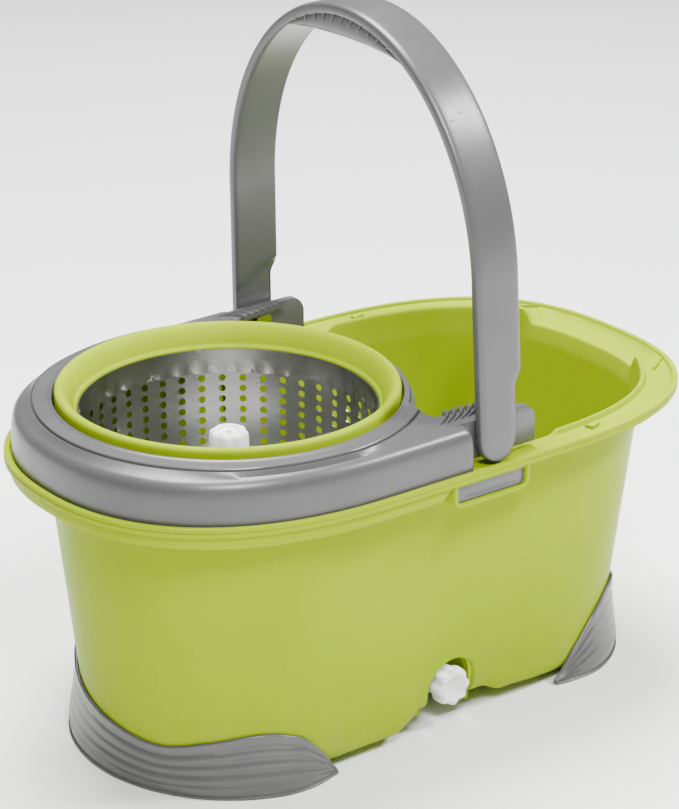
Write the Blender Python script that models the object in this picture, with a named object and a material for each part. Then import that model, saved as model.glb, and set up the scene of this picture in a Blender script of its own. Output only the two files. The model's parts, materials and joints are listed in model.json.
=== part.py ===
"""Spin mop bucket: an oval tub with a spinning basket at one end and a folding bail handle.

The tub is 480 mm long. X runs along it, from the basket end (-X) to the pouring end (+X),
Y runs across it and Z is up. The origin is on the floor under the middle of the tub.
"""
import math

import bmesh
import bpy

MM = 0.001
GAP = 0.3                   # clearance between touching pieces, in millimetres like every size here

# ---- tub: the outline at flange height, and how far each level is set in from it
TUB_HALF_WIDTH = 145.0      # of the wall's plan, carried up to flange height
RIM_HALF_WIDTH = 141.0
RIM_ROUND_X = -66.0         # where the lip's round end starts; the wall's starts at the basket's axis
RIM_POWER = 2.35
RIM_INNER = 26.0            # inset of the tank's inner edge
RING_X = -97.0              # axis of the basket, and centre of the tub's round end
ROUND_END = 143.0           # reach of the round end from that axis
NOSE_X = 60.0               # where the side starts to turn into the pouring end
NOSE_REACH = 180.0
NOSE_POWER = 2.6
FLANGE_Z = 206.0
TUB_FLOOR_Z = 8.0
TUB_WALL = 3.0
WALL_TOP_Z = 190.0
WALL_TOP_INSET = 25.5
WALL_DRAFT = 0.108          # inset gained per unit of height
WAIST_TOP_DEPTH = 2.5
WAIST_FOOT_DEPTH = 6.0
WAIST_LIFT = 9.0            # how far the bottom edge is raised between the two ends
SPOUT_HALF_WIDTH = 55.0
LIP_UNDER_Z = 199.6
COLLAR_DEPTH = 8.6
COLLAR_SHALLOW = 2.4
LATCH_LEFT = -21.5
LATCH_RIGHT = 41.0
LATCH_FOOT_Z = 182.8
LATCH_FACE_Y = 139.7
CLIP_BACK_Y = 134.6
BEAD_START_X = 74.0

# ---- spinner cover
COVER_INSET = 4.6
COVER_END_X = -3.0
COVER_HOLE_R = 113.5
COVER_EDGE_R = 121.0
COVER_FOOT_Z = 204.3
EAR_FACE_Y = 127.5
EAR_THICK = 6.0
EAR_TIP_X = 55.0
EAR_TOP_Z = 235.0

# ---- spinning basket
RING_CREST_Z = 245.5
RING_OUTER_R = 112.0
RING_BORE_R = 98.3
RING_LIP_Z = 231.0
DRUM_R = 97.6
DRUM_WALL = 1.2
DRUM_FLOOR_Z = 145.0
HUB_R = 13.5
HUB_TOP_Z = 212.0
HUB_LOBES = 8
HUB_BORE_R = 7.6

# ---- spindle under the basket
TOWER_TOP_Z = 134.0
SPINDLE_R = 4.0
SPINDLE_TOP_Z = 190.0
BUSH_R = 7.3

# ---- bail handle
PIVOT_X = 17.7
PIVOT_Z = 224.5
HANDLE_NEAR_X = 2.5
HANDLE_FAR_X = 38.0
HANDLE_LEG_X = 33.0
HANDLE_LEG_Y = 137.0
HANDLE_ARCH_Y = 134.0
HANDLE_ARCH_Z = 322.0
HANDLE_TOP_Z = 479.0
HANDLE_THICK = 8.0
HANDLE_RAKE = 8.5           # how far the top leans toward the basket
LEG_REACH = 18.0            # from the pivot down to the leg's rounded end
GRIP_UNDER_Z = 456.5
GRIP_HALF = 62.0
PIN_R = 4.0

# ---- drain
DRAIN_X = 14.5
DRAIN_Z = 29.0
NICHE_R = 19.5
NICHE_BACK_Y = -64.0
OUTLET_R = 8.5

# ---- feet
FOOT_SPREAD = 13.0
FOOT_CREST = ((-96, 4), (-90, 19), (-80, 36), (-65, 43), (-45, 37), (-27, 30), (-6, 34),
              (22, 43), (42, 54), (58, 56), (76, 42), (88, 22), (96, 4))

LIME = (0.56, 0.76, 0.012)
GREY = (0.23, 0.23, 0.24)
WHITE = (0.85, 0.85, 0.84)
STEEL = (0.62, 0.62, 0.60)
RUBBER = (0.03, 0.03, 0.03)


def reset_scene():
    """Empty the scene and make the two collections."""
    for item in list(bpy.data.objects):
        bpy.data.objects.remove(item, do_unlink=True)
    for name in ("spin_mop_bucket", "cutters"):
        collection = bpy.data.collections.new(name)
        bpy.context.scene.collection.children.link(collection)


def material(name, colour, roughness, metallic=0.0):
    """A Principled material of one colour."""
    made = bpy.data.materials.new(name)
    made.use_nodes = True
    shader = made.node_tree.nodes["Principled BSDF"]
    shader.inputs["Base Color"].default_value = (*colour, 1.0)
    shader.inputs["Roughness"].default_value = roughness
    shader.inputs["Metallic"].default_value = metallic
    return made


def add_object(name, bm, look=None, cutter=False):
    """Turn a bmesh in millimetres into an object in metres."""
    bmesh.ops.scale(bm, vec=(MM, MM, MM), verts=bm.verts)
    bmesh.ops.recalc_face_normals(bm, faces=bm.faces)
    mesh = bpy.data.meshes.new(name)
    bm.to_mesh(mesh)
    bm.free()
    item = bpy.data.objects.new(name, mesh)
    home = "cutters" if cutter else "spin_mop_bucket"
    bpy.data.collections[home].objects.link(item)
    if cutter:
        item.hide_render = True
        item.display_type = 'WIRE'
    if look is not None:
        mesh.materials.append(material(name, *look))
        mesh.shade_smooth()
        mesh.set_sharp_from_angle(angle=math.radians(35))
    return item


def loft(loops, closed=False):
    """Skin a list of equal loops; the ends are capped unless the list closes on itself."""
    bm = bmesh.new()
    rows = [[bm.verts.new(point) for point in loop] for loop in loops]
    pairs = list(zip(rows, rows[1:]))
    if closed:
        pairs.append((rows[-1], rows[0]))
    count = len(rows[0])
    for low, high in pairs:
        for i in range(count):
            j = (i + 1) % count
            bm.faces.new((low[i], low[j], high[j], high[i]))
    if not closed:
        bm.faces.new(rows[0])
        bm.faces.new(rows[-1])
    return bm


def turned(profile, centre=(0.0, 0.0), segments=32, closed=True):
    """Turn a profile of (radius, z) about a vertical axis; a closed profile makes a ring."""
    loops = []
    for radius, z in profile:
        loop = []
        for step in range(segments):
            angle = 2 * math.pi * step / segments
            x = centre[0] + radius * math.cos(angle)
            y = centre[1] + radius * math.sin(angle)
            loop.append((x, y, z))
        loops.append(loop)
    return loft(loops, closed)


def turned_y(profile, x, z, segments=24, closed=True):
    """Turn a profile of (radius, y) about an axis that runs along Y."""
    loops = []
    for radius, y in profile:
        loop = []
        for step in range(segments):
            angle = 2 * math.pi * step / segments
            loop.append((x + radius * math.cos(angle), y, z + radius * math.sin(angle)))
        loops.append(loop)
    return loft(loops, closed)


def slab(outline, low, high, axis='z'):
    """A flat plate: an outline of pairs pushed from low to high along an axis."""
    if axis == 'z':
        return loft([[(a, b, level) for a, b in outline] for level in (low, high)])
    return loft([[(a, level, b) for a, b in outline] for level in (low, high)])


def cut(item, cutter, operation='DIFFERENCE'):
    """Add a Boolean modifier."""
    step = item.modifiers.new(cutter.name, 'BOOLEAN')
    step.operation = operation
    step.object = cutter
    return step


def arc(centre, radius, start, end, steps):
    """Points along an arc, angles in degrees."""
    points = []
    for i in range(steps + 1):
        angle = math.radians(start + (end - start) * i / steps)
        points.append((centre[0] + radius * math.cos(angle), centre[1] + radius * math.sin(angle)))
    return points


# ------------------------------------------------------------------ tub

def wall_inset(z):
    """How far the tub's wall stands in from the flange edge at a height."""
    return WALL_TOP_INSET + (WALL_TOP_Z - z) * WALL_DRAFT


def smooth(value, low, high):
    """0 below low, 1 above high and an S curve between."""
    share = min(max((value - low) / (high - low), 0.0), 1.0)
    return share * share * (3 - 2 * share)


def waist_start(z):
    """Where the recessed side begins, at a crease that stands almost upright."""
    return -21.0 + 3.0 * (WALL_TOP_Z - z) / WALL_TOP_Z


def waist(x, z):
    """Depth of the recessed side, from the crease to the pouring end's corner."""
    share = min(max((WALL_TOP_Z - z) / (WALL_TOP_Z - TUB_FLOOR_Z), 0.0), 1.0)
    depth = WAIST_TOP_DEPTH + (WAIST_FOOT_DEPTH - WAIST_TOP_DEPTH) * share
    past = max(x - waist_start(z), 0.0)
    rise = 0.7 * min(past / 3.0, 1.0) + 0.3 * min(past / 15.0, 1.0)
    ridge = 37.0 + (155.0 - z) * 0.22
    fade = max(1.0 - max(x - ridge, 0.0) / (195.0 - ridge), 0.0)
    return depth * rise * fade ** 1.4


def lift(x):
    """How far the bottom edge is raised along the middle of the side."""
    start = smooth(x, -36.0, -16.0)
    end = (1.0 - 0.8 * smooth(x, 44.0, 62.0)) * (1.0 - smooth(x, 62.0, 120.0))
    return WAIST_LIFT * start * end


def half_outline(inset, z, recessed):
    """One side of the tub at one level, from the round end to the pouring end."""
    centre, width, power = RING_X, TUB_HALF_WIDTH - inset, 2.0
    if not recessed:
        share = inset / RIM_INNER
        centre = RIM_ROUND_X + (RING_X - RIM_ROUND_X) * share
        width = RIM_HALF_WIDTH + (TUB_HALF_WIDTH - RIM_INNER - RIM_HALF_WIDTH) * share
        power = RIM_POWER + (2.0 - RIM_POWER) * share
    reach = centre - RING_X + ROUND_END - inset
    points = []
    for step in range(13):
        angle = 0.5 * math.pi * step / 12
        away = max(math.cos(angle), 0.0) ** (2 / power)
        points.append((centre - reach * away, width * math.sin(angle) ** (2 / power)))
    crease = waist_start(z)
    places = [-58, -50, -36, crease, crease + 3, crease + 15, 12, 30, 44, 53]
    for x in places:
        points.append((x, width))
    for step in range(14):
        angle = 0.5 * math.pi * (1 - step / 13)
        away = max(math.cos(angle), 0.0) ** (2 / NOSE_POWER)
        aside = max(math.sin(angle), 0.0) ** (2 / NOSE_POWER)
        points.append((NOSE_X + (NOSE_REACH - inset) * away, width * aside))
    if recessed:
        points = [(x, y - waist(x, z)) for x, y in points]
    return points


def tub_loop(inset, z, recessed=False):
    """The whole outline at one level; near the bottom the sides are lifted."""
    side = half_outline(inset, z, recessed)
    flat = side + [(x, -y) for x, y in reversed(side[1:-1])]
    near_floor = min(max(1.0 - (z - TUB_FLOOR_Z - TUB_WALL) / 60.0, 0.0), 1.0)
    if not recessed:
        near_floor = 0.0
    return [(x, y, z + lift(x) * near_floor) for x, y in flat]


def rim_loop(inset, plain, beaded, spout):
    """A rim line: its height beside the cover, along the tank's bead and across the spout."""
    loop = []
    for x, y, _ in tub_loop(inset, 0.0):
        z = plain + (beaded - plain) * smooth(x, BEAD_START_X, BEAD_START_X + 6.0)
        if x > 120.0:
            if beaded > FLANGE_Z:
                z += 2.5 * math.exp(-((abs(y) - SPOUT_HALF_WIDTH - 9.0) / 8.0) ** 2)
            z += (spout - z) * (1.0 - smooth(abs(y), SPOUT_HALF_WIDTH - 6.0, SPOUT_HALF_WIDTH + 2.0))
        loop.append((x, y, z))
    return loop


def collar_loop(inset, share):
    """A line on the skirt turned down under the lip, deep beside the basket and shallow beyond the latch."""
    loop = []
    for x, y, _ in tub_loop(inset, 0.0):
        drop = COLLAR_DEPTH - (COLLAR_DEPTH - COLLAR_SHALLOW) * smooth(x, -5.0, 20.0)
        loop.append((x, y, LIP_UNDER_Z - drop * share))
    return loop


def build_tub():
    """Tub with its rim, side recess, drain niche and the two latch frames."""
    rim = [(26.0, 203.0, 204.0, 197.5), (25.3, 204.0, 206.8, 198.8), (24.0, 204.3, 207.8, 199.0),
           (22.5, 204.2, 207.2, 198.6), (21.0, 204.0, 204.0, 198.2), (12.0, 204.0, 204.0, 199.5),
           (4.0, 204.0, 204.0, 204.0)]
    loops = [rim_loop(*line) for line in rim]
    lip = [(3.4, 206.0), (0.8, 206.0), (0.0, 205.2), (0.0, 200.6), (0.8, 200.0)]
    loops += [tub_loop(inset, z) for inset, z in lip]
    loops += [collar_loop(2.8, 0.0), collar_loop(3.4, 1.0), collar_loop(6.0, 1.0), collar_loop(6.6, 0.0)]
    loops += [rim_loop(7.5, 199.6, 199.6, 194.6), rim_loop(22.0, 199.6, 199.6, 194.4)]
    loops.append(rim_loop(24.8, 196.0, 196.0, 192.0))
    levels = [187, 170, 150, 120, 90, 60, 35, 18]
    for z in levels:
        loops.append(tub_loop(wall_inset(z), z, recessed=True))
    foot = wall_inset(TUB_FLOOR_Z)
    high = TUB_FLOOR_Z + TUB_WALL
    loops.append(tub_loop(foot + 3, TUB_FLOOR_Z, recessed=True))
    loops.append(tub_loop(foot + 26, TUB_FLOOR_Z, recessed=True))
    loops.append([(x, y, TUB_FLOOR_Z) for x, y, _ in tub_loop(foot + 28, TUB_FLOOR_Z, recessed=True)])
    inner = [[(x, y, high) for x, y, _ in tub_loop(foot + 31.5, high, recessed=True)]]
    inner.append(tub_loop(foot + 30.5, high, recessed=True))
    inner.append(tub_loop(foot + 6, high, recessed=True))
    for z in reversed(levels):
        inner.append(tub_loop(wall_inset(z) + TUB_WALL, z, recessed=True))
    bm = bmesh.new()
    skins = []
    for group in (loops, inner):
        rows = [[bm.verts.new(point) for point in loop] for loop in group]
        skins.append(rows)
        for low, high_row in zip(rows, rows[1:]):
            for i in range(len(low)):
                j = (i + 1) % len(low)
                bm.faces.new((low[i], low[j], high_row[j], high_row[i]))
    outer_rows, inner_rows = skins
    bm.faces.new(outer_rows[-1])
    bm.faces.new(inner_rows[0])
    last, first = inner_rows[-1], outer_rows[0]
    for i in range(len(last)):
        j = (i + 1) % len(last)
        bm.faces.new((last[i], last[j], first[j], first[i]))
    bmesh.ops.triangulate(bm, faces=[face for face in bm.faces if len(face.verts) > 4])
    tub = add_object("bucket", bm, (LIME, 0.32))

    hump = niche_outline(NICHE_R + 3.0, TUB_FLOOR_Z + 1.0)
    cut(tub, add_object("niche_hump", slab(hump, NICHE_BACK_Y + 3.0, -86.0, 'y'), cutter=True), 'UNION')
    hollow = niche_outline(NICHE_R, -5.0)
    cut(tub, add_object("niche_hollow", slab(hollow, -130.0, NICHE_BACK_Y, 'y'), cutter=True))
    hole = turned_y([(OUTLET_R + GAP, -75.0), (OUTLET_R + GAP, -50.0)], DRAIN_X, DRAIN_Z, 20, False)
    cut(tub, add_object("outlet_hole", hole, cutter=True))
    for side in (-1, 1):
        frame = latch_outline(0.0, 201.0)
        pocket = latch_outline(3.0, 199.0)
        y_far, y_near = side * LATCH_FACE_Y, side * 118.8
        cut(tub, add_object("latch_frame", slab(frame, y_near, y_far, 'y'), cutter=True), 'UNION')
        y_far, y_near = side * 150.0, side * (CLIP_BACK_Y - GAP)
        cut(tub, add_object("latch_pocket", slab(pocket, y_near, y_far, 'y'), cutter=True))
    return tub


def niche_outline(radius, low):
    """An arch in X and Z, open downward."""
    points = arc((DRAIN_X, DRAIN_Z), radius, 0, 180, 12)
    return points + [(DRAIN_X - radius, low), (DRAIN_X + radius, low)]


def latch_outline(inset, top):
    """The latch frame under the flange, in X and Z, with rounded lower corners."""
    left, right, low = LATCH_LEFT + inset, LATCH_RIGHT - inset, LATCH_FOOT_Z + inset
    corner = 7.0 - inset
    points = [(left, top), (left, low + corner)]
    points += arc((left + corner, low + corner), corner, 180, 270, 4)[1:]
    points += arc((right - corner, low + corner), corner, 270, 360, 4)
    return points + [(right, top)]


# ------------------------------------------------------------------ cover

def cover_stations():
    """Pairs of outer and inner edge points along one side, with the skirt's foot height."""
    stations = []
    edge = half_outline(COVER_INSET, 0.0, False)
    width = edge[13][1]
    outline = edge[:13] + [(x, width) for x in (-54.0, -42.0, -30.0, -16.0, COVER_END_X)]
    for x, y in outline:
        stations.append(((x, y), math.atan2(y, x - RING_X), COVER_FOOT_Z))
    stations.append(((COVER_END_X - 1.0, EAR_FACE_Y + 2.0), math.radians(52.5), COVER_FOOT_Z))
    stations.append(((-12.0, 112.0), math.radians(51), 222.0))
    for degrees in (48, 40, 30, 20, 10, 0):
        angle = math.radians(degrees)
        outer = (RING_X + COVER_EDGE_R * math.cos(angle), COVER_EDGE_R * math.sin(angle))
        stations.append((outer, angle, 224.0))
    return stations


def cover_section(station):
    """The cover's cut line at one station, a closed loop through skirt, crown and collar."""
    outer, angle, foot = station
    inner = (RING_X + COVER_HOLE_R * math.cos(angle), COVER_HOLE_R * math.sin(angle))
    width = math.hypot(outer[0] - inner[0], outer[1] - inner[1])
    k = min(1.0, width / 26.0)
    under = max(foot + 2.0, 222.0)
    shape = [(0.0, foot), (1.0 * k, 224.5), (2.8 * k, 230.3), (6.0 * k, 233.3),
             (width - 14.0 * k, 237.0), (width - 13.0 * k, 236.2), (width - 12.0 * k, 238.6),
             (width - 3.0 * k, 239.2), (width - 1.0 * k, 240.0), (width, 239.4), (width, 226.0),
             (5.5 * k, under), (4.4 * k, under - 1.0), (3.4 * k, foot)]
    loop = []
    for along, z in shape:
        share = along / width
        x = outer[0] + (inner[0] - outer[0]) * share
        y = outer[1] + (inner[1] - outer[1]) * share
        loop.append((x, y, z))
    return loop


def build_cover():
    """Cover around the basket, with the ears that carry the handle."""
    half = [cover_section(station) for station in cover_stations()]
    mirrored = [[(x, -y, z) for x, y, z in loop] for loop in reversed(half[1:-1])]
    cover = add_object("spinner_cover", loft(half + mirrored, True), (GREY, 0.38))
    for side in (-1, 1):
        low, high = sorted((side * EAR_FACE_Y, side * (EAR_FACE_Y - EAR_THICK)))
        corner = 12.0
        ear = [(-14.0, 208.0), (EAR_TIP_X, 208.0)]
        ear += arc((EAR_TIP_X - corner, EAR_TOP_Z - corner), corner, 0, 90, 5)
        ear.append((-14.0, EAR_TOP_Z - 1.0))
        cut(cover, add_object("ear", slab(ear, low, high, 'y'), cutter=True), 'UNION')
        web = [(-28.0, side * 104.0), (-15.0, side * 108.5), (20.0, side * 109.0),
               (46.0, side * (EAR_FACE_Y - 3.0)), (-14.0, side * (EAR_FACE_Y - 2.0))]
        cut(cover, add_object("ear_web", slab(web, 231.6, 234.8), cutter=True), 'UNION')
        bore = turned_y([(PIN_R + GAP, side * 115.0), (PIN_R + GAP, side * 129.0)], PIVOT_X, PIVOT_Z, 16, False)
        cut(cover, add_object("ear_bore", bore, cutter=True))
    return cover


# ------------------------------------------------------------------ basket

def build_basket():
    """Ring, drum, floor and hub turn together on the spindle."""
    centre = (RING_X, 0.0)
    ring = [(RING_BORE_R, RING_LIP_Z), (RING_BORE_R + 1.5, 233.5), (104.0, 242.0), (107.0, 245.0),
            (109.0, RING_CREST_Z), (111.0, 244.6), (RING_OUTER_R, 242.5), (RING_OUTER_R, 227.0),
            (RING_OUTER_R - 2.5, 227.0), (RING_OUTER_R - 2.5, 240.0), (108.0, 242.3), (105.5, 240.0),
            (101.5, 231.5), (101.0, 226.0), (DRUM_R + GAP, 226.0), (DRUM_R + GAP, RING_LIP_Z)]
    add_object("basket_ring", turned(ring, centre, 48), (LIME, 0.28))
    drum = [(DRUM_R, 230.0), (DRUM_R, DRUM_FLOOR_Z), (DRUM_R - DRUM_WALL, DRUM_FLOOR_Z),
            (DRUM_R - DRUM_WALL, 230.0)]
    add_object("basket_drum", turned(drum, centre, 48), (STEEL, 0.25, 1.0))
    floor_r = DRUM_R - DRUM_WALL - GAP
    floor = [(floor_r, 147.5), (floor_r, DRUM_FLOOR_Z), (HUB_R + 1.0, DRUM_FLOOR_Z), (HUB_R + 1.0, 147.5)]
    add_object("basket_floor", turned(floor, centre, 48), (STEEL, 0.3, 1.0))
    carrier = [(DRUM_R, 144.7), (DRUM_R, 139.0), (30.0, 137.0), (HUB_R + 1.0, 137.0), (HUB_R + 1.0, 144.7)]
    add_object("basket_carrier", turned(carrier, centre, 48), (LIME, 0.35))

    loops = []
    shape = [(HUB_BORE_R, 137.0, 0), (HUB_R + 0.6, 137.0, 0), (HUB_R + 0.6, 147.8, 0), (26.0, 147.8, 0),
             (26.0, 150.5, 0), (HUB_R, 151.5, 1), (HUB_R, HUB_TOP_Z - 2, 1), (HUB_R - 2, HUB_TOP_Z, 1),
             (2.0, HUB_TOP_Z, 0)]
    for radius, z, lobed in shape:
        loop = []
        for step in range(48):
            angle = 2 * math.pi * step / 48
            r = radius - lobed * 1.1 * (1 - math.cos(HUB_LOBES * angle)) / 2
            loop.append((RING_X + r * math.cos(angle), r * math.sin(angle), z))
        loops.append(loop)
    bore = [(2.0, SPINDLE_TOP_Z + 8), (HUB_BORE_R, SPINDLE_TOP_Z + 6)]
    for radius, z in bore:
        ring_points = [(RING_X + radius * math.cos(2 * math.pi * s / 48),
                        radius * math.sin(2 * math.pi * s / 48), z) for s in range(48)]
        loops.append(ring_points)
    add_object("mop_hub", loft(loops, True), (WHITE, 0.4))
    for number in range(3):
        angle = math.radians(60 + 120 * number)
        spot = (RING_X + 21.0 * math.cos(angle), 21.0 * math.sin(angle))
        screw = [(3.5, 153.6), (3.5, 151.6)]
        add_object("hub_screw_%d" % (number + 1), turned(screw, spot, 12, False), (STEEL, 0.3, 1.0))

    for name, low in (("spindle_bush_lower", 140.0), ("spindle_bush_upper", 172.0)):
        bush = [(BUSH_R, low + 10), (BUSH_R, low), (SPINDLE_R + GAP, low), (SPINDLE_R + GAP, low + 10)]
        add_object(name, turned(bush, centre, 24), (WHITE, 0.5))


def build_spindle():
    """The fixed pin that the basket turns on, and the tower that holds it."""
    centre = (RING_X, 0.0)
    tower = [(46.0, TUB_FLOOR_Z + TUB_WALL + GAP), (46.0, 12.0), (24.0, 16.0), (13.0, 40.0),
             (11.0, TOWER_TOP_Z), (SPINDLE_R + GAP, TOWER_TOP_Z), (SPINDLE_R + GAP, 60.0),
             (2.0, 58.0), (2.0, TUB_FLOOR_Z + TUB_WALL + GAP)]
    add_object("spindle_tower", turned(tower, centre, 32), (GREY, 0.45))
    pin = [(SPINDLE_R, 60.5), (SPINDLE_R, SPINDLE_TOP_Z - 1), (SPINDLE_R - 1, SPINDLE_TOP_Z)]
    add_object("spindle_pin", turned(pin, centre, 24, False), (STEEL, 0.2, 1.0))
    washer = [(9.0, TOWER_TOP_Z + 2.3), (9.0, TOWER_TOP_Z + GAP), (SPINDLE_R + GAP, TOWER_TOP_Z + GAP),
              (SPINDLE_R + GAP, TOWER_TOP_Z + 2.3)]
    add_object("thrust_washer", turned(washer, centre, 24), (STEEL, 0.2, 1.0))
    clip = [(6.6, 185.0), (6.6, 184.0), (SPINDLE_R + GAP, 184.0), (SPINDLE_R + GAP, 185.0)]
    add_object("spindle_clip", turned(clip, centre, 24), (STEEL, 0.25, 1.0))
    for number in range(3):
        angle = math.radians(120 * number)
        spot = (RING_X + 36.0 * math.cos(angle), 36.0 * math.sin(angle))
        screw = [(3.8, 17.2), (3.8, 15.0)]
        add_object("tower_screw_%d" % (number + 1), turned(screw, spot, 12, False), (STEEL, 0.3, 1.0))


# ------------------------------------------------------------------ handle

def handle_path():
    """Outer edge of the bail in Y and Z, from one foot over the top to the other."""
    points = []
    for z in (240.0, 262.0, 275.0, 300.0):
        lean = (z - PIVOT_Z) / (HANDLE_ARCH_Z - PIVOT_Z)
        points.append((HANDLE_LEG_Y + (HANDLE_ARCH_Y - HANDLE_LEG_Y) * lean, z))
    rise = HANDLE_TOP_Z - HANDLE_ARCH_Z
    for step in range(17):
        angle = 0.5 * math.pi * step / 16
        points.append((HANDLE_ARCH_Y * math.cos(angle), HANDLE_ARCH_Z + rise * math.sin(angle)))
    return points


def handle_section(outer, inner, far_x, z_inner):
    """A band section: outer edge, inner edge and the two rounded sides."""
    near = HANDLE_NEAR_X
    soft = 2.0
    oy, oz = outer
    iy, iz = inner
    my, mz = oy + (iy - oy) * 0.25, oz + (iz - oz) * 0.25
    ny, nz = oy + (iy - oy) * 0.8, oz + (iz - oz) * 0.8
    return [(near + soft, oy, oz), (far_x - soft, oy, oz), (far_x, my, mz), (far_x, ny, nz),
            (far_x - soft, iy, iz), (near + soft, iy, iz), (near, ny, nz), (near, my, mz)]


def rake(z):
    """How far the bail leans back toward the basket at a height."""
    return HANDLE_RAKE * max(z - PIVOT_Z, 0.0) / (HANDLE_TOP_Z - PIVOT_Z)


def build_handle():
    """The bail: two rounded legs, the arch and the grip under it."""
    outline = handle_path()
    sections = []
    bottom = PIVOT_Z - LEG_REACH
    for drop, cut_in in ((0.0, 9.0), (2.0, 4.5), (7.0, 0.8)):
        z = bottom + drop
        loop = handle_section((HANDLE_LEG_Y, z), (HANDLE_LEG_Y - HANDLE_THICK, z), HANDLE_LEG_X, z)
        middle = (HANDLE_NEAR_X + HANDLE_LEG_X) / 2
        half = (HANDLE_LEG_X - HANDLE_NEAR_X) / 2
        sections.append([(middle + (x - middle) * (half - cut_in) / half, y, z) for x, y, z in loop])
    for i, (y, z) in enumerate(outline):
        ahead = outline[min(i + 1, len(outline) - 1)]
        behind = outline[max(i - 1, 0)]
        dy, dz = ahead[0] - behind[0], ahead[1] - behind[1]
        if i == len(outline) - 1:
            dy, dz = -1.0, 0.0
        length = math.hypot(dy, dz)
        ny, nz = -dz / length, dy / length
        inner = (y + ny * HANDLE_THICK, z + nz * HANDLE_THICK)
        share = min(max((z - 262.0) / 13.0, 0.0), 1.0)
        far_x = HANDLE_LEG_X + (HANDLE_FAR_X - HANDLE_LEG_X) * share
        section = handle_section((y, z), inner, far_x, z)
        sections.append([(x - rake(z), a, b) for x, a, b in section])
    mirrored = [[(x, -y, z) for x, y, z in loop] for loop in reversed(sections[:-1])]
    handle = add_object("handle", loft(sections + mirrored), (GREY, 0.38))
    for side in (-1, 1):
        bore = turned_y([(PIN_R + GAP, side * 120.0), (PIN_R + GAP, side * 134.0)], PIVOT_X, PIVOT_Z, 16, False)
        cut(handle, add_object("handle_bore", bore, cutter=True))
    return handle


def build_grip():
    """Filler under the arch that the hand closes on."""
    outline = []
    under = HANDLE_THICK + GAP
    steps = 12
    rise = HANDLE_TOP_Z - HANDLE_ARCH_Z
    for i in range(steps + 1):
        y = -GRIP_HALF + 2 * GRIP_HALF * i / steps
        slope = math.sqrt(max(1 - (y / HANDLE_ARCH_Y) ** 2, 0.0))
        z = HANDLE_ARCH_Z + rise * slope
        tilt = math.hypot(1.0, rise * y / (HANDLE_ARCH_Y ** 2 * slope))
        outline.append((y, z - under * tilt - 0.3))
    outline += [(GRIP_HALF - 8.0, GRIP_UNDER_Z - 4.5), (40.0, GRIP_UNDER_Z - 1.0), (0.0, GRIP_UNDER_Z)]
    outline += [(-40.0, GRIP_UNDER_Z - 1.0), (-GRIP_HALF + 8.0, GRIP_UNDER_Z - 4.5)]
    sides = (HANDLE_NEAR_X + 1.5, HANDLE_FAR_X - 1.5)
    loops = [[(x - rake(z), y, z) for y, z in outline] for x in sides]
    bm = loft(loops)
    bmesh.ops.triangulate(bm, faces=[face for face in bm.faces if len(face.verts) > 4])
    add_object("handle_grip", bm, (GREY, 0.5))


def build_pins():
    """A headed pin through each ear into the handle's leg, and the clip plate in each latch frame."""
    for name, side in (("front", -1), ("rear", 1)):
        pin = [(PIN_R, side * 133.5), (PIN_R, side * 121.0), (6.5, side * 120.9), (6.5, side * 118.5)]
        add_object("handle_pin_" + name, turned_y(pin, PIVOT_X, PIVOT_Z, 16, False), (STEEL, 0.3, 1.0))
        plate = latch_outline(3.0 + GAP, 198.5)
        low, high = sorted((side * CLIP_BACK_Y, side * (CLIP_BACK_Y + 2.9)))
        add_object("cover_clip_" + name, slab(plate, low, high, 'y'), (GREY, 0.42))


# ------------------------------------------------------------------ drain

def build_drain():
    """Outlet through the niche's back wall, its nut, and the turning plug with its seal."""
    back = NICHE_BACK_Y
    outlet = [(OUTLET_R, back + 15.0), (OUTLET_R, back - GAP), (12.5, back - GAP), (12.5, back - 4.0),
              (6.5, back - 4.0), (6.5, back + 15.0)]
    add_object("drain_outlet", turned_y(outlet, DRAIN_X, DRAIN_Z), (WHITE, 0.4))
    inside = back + TUB_WALL + GAP
    nut = [(14.0, inside + 5.0), (14.0, inside), (OUTLET_R + GAP, inside), (OUTLET_R + GAP, inside + 5.0)]
    add_object("drain_nut", turned_y(nut, DRAIN_X, DRAIN_Z, 18), (WHITE, 0.45))
    seal_y = back - 4.0 - GAP
    seal = [(9.5, seal_y), (10.0, seal_y - 1.2), (9.5, seal_y - 2.4), (6.4, seal_y - 2.4), (6.4, seal_y)]
    add_object("drain_seal", turned_y(seal, DRAIN_X, DRAIN_Z), (RUBBER, 0.7))
    face = seal_y - 2.4 - GAP
    stations = [(5.9, back + 12.0, 0), (5.9, face, 0), (11.0, face, 0), (11.0, face - 16.0, 0),
                (13.5, face - 17.0, 1), (13.8, face - 20.0, 1), (13.5, face - 27.0, 1),
                (12.3, face - 29.0, 1), (8.0, face - 29.0, 0), (6.5, face - 25.5, 0)]
    loops = []
    for radius, y, lobed in stations:
        loop = []
        for step in range(48):
            angle = 2 * math.pi * step / 48
            r = radius - lobed * 1.3 * (1 - math.cos(8 * angle)) / 2
            loop.append((DRAIN_X + r * math.cos(angle), y, DRAIN_Z + r * math.sin(angle)))
        loops.append(loop)
    add_object("drain_plug", loft(loops), (WHITE, 0.35))


# ------------------------------------------------------------------ feet

def foot_crest(degrees):
    """Height of the foot's wavy upper edge, by the angle round the end of the tub."""
    spots = FOOT_CREST
    for i in range(len(spots) - 1):
        (a0, h0), (a1, h1) = spots[i], spots[i + 1]
        if a0 <= degrees <= a1:
            before = spots[max(i - 1, 0)][1]
            after = spots[min(i + 2, len(spots) - 1)][1]
            t = (degrees - a0) / (a1 - a0)
            rise = (h1 - before) / 2
            fall = (after - h0) / 2
            return (h0 * (2 * t ** 3 - 3 * t * t + 1) + rise * (t ** 3 - 2 * t * t + t)
                    + h1 * (3 * t * t - 2 * t ** 3) + fall * (t ** 3 - t * t))
    return spots[0][1]


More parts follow.
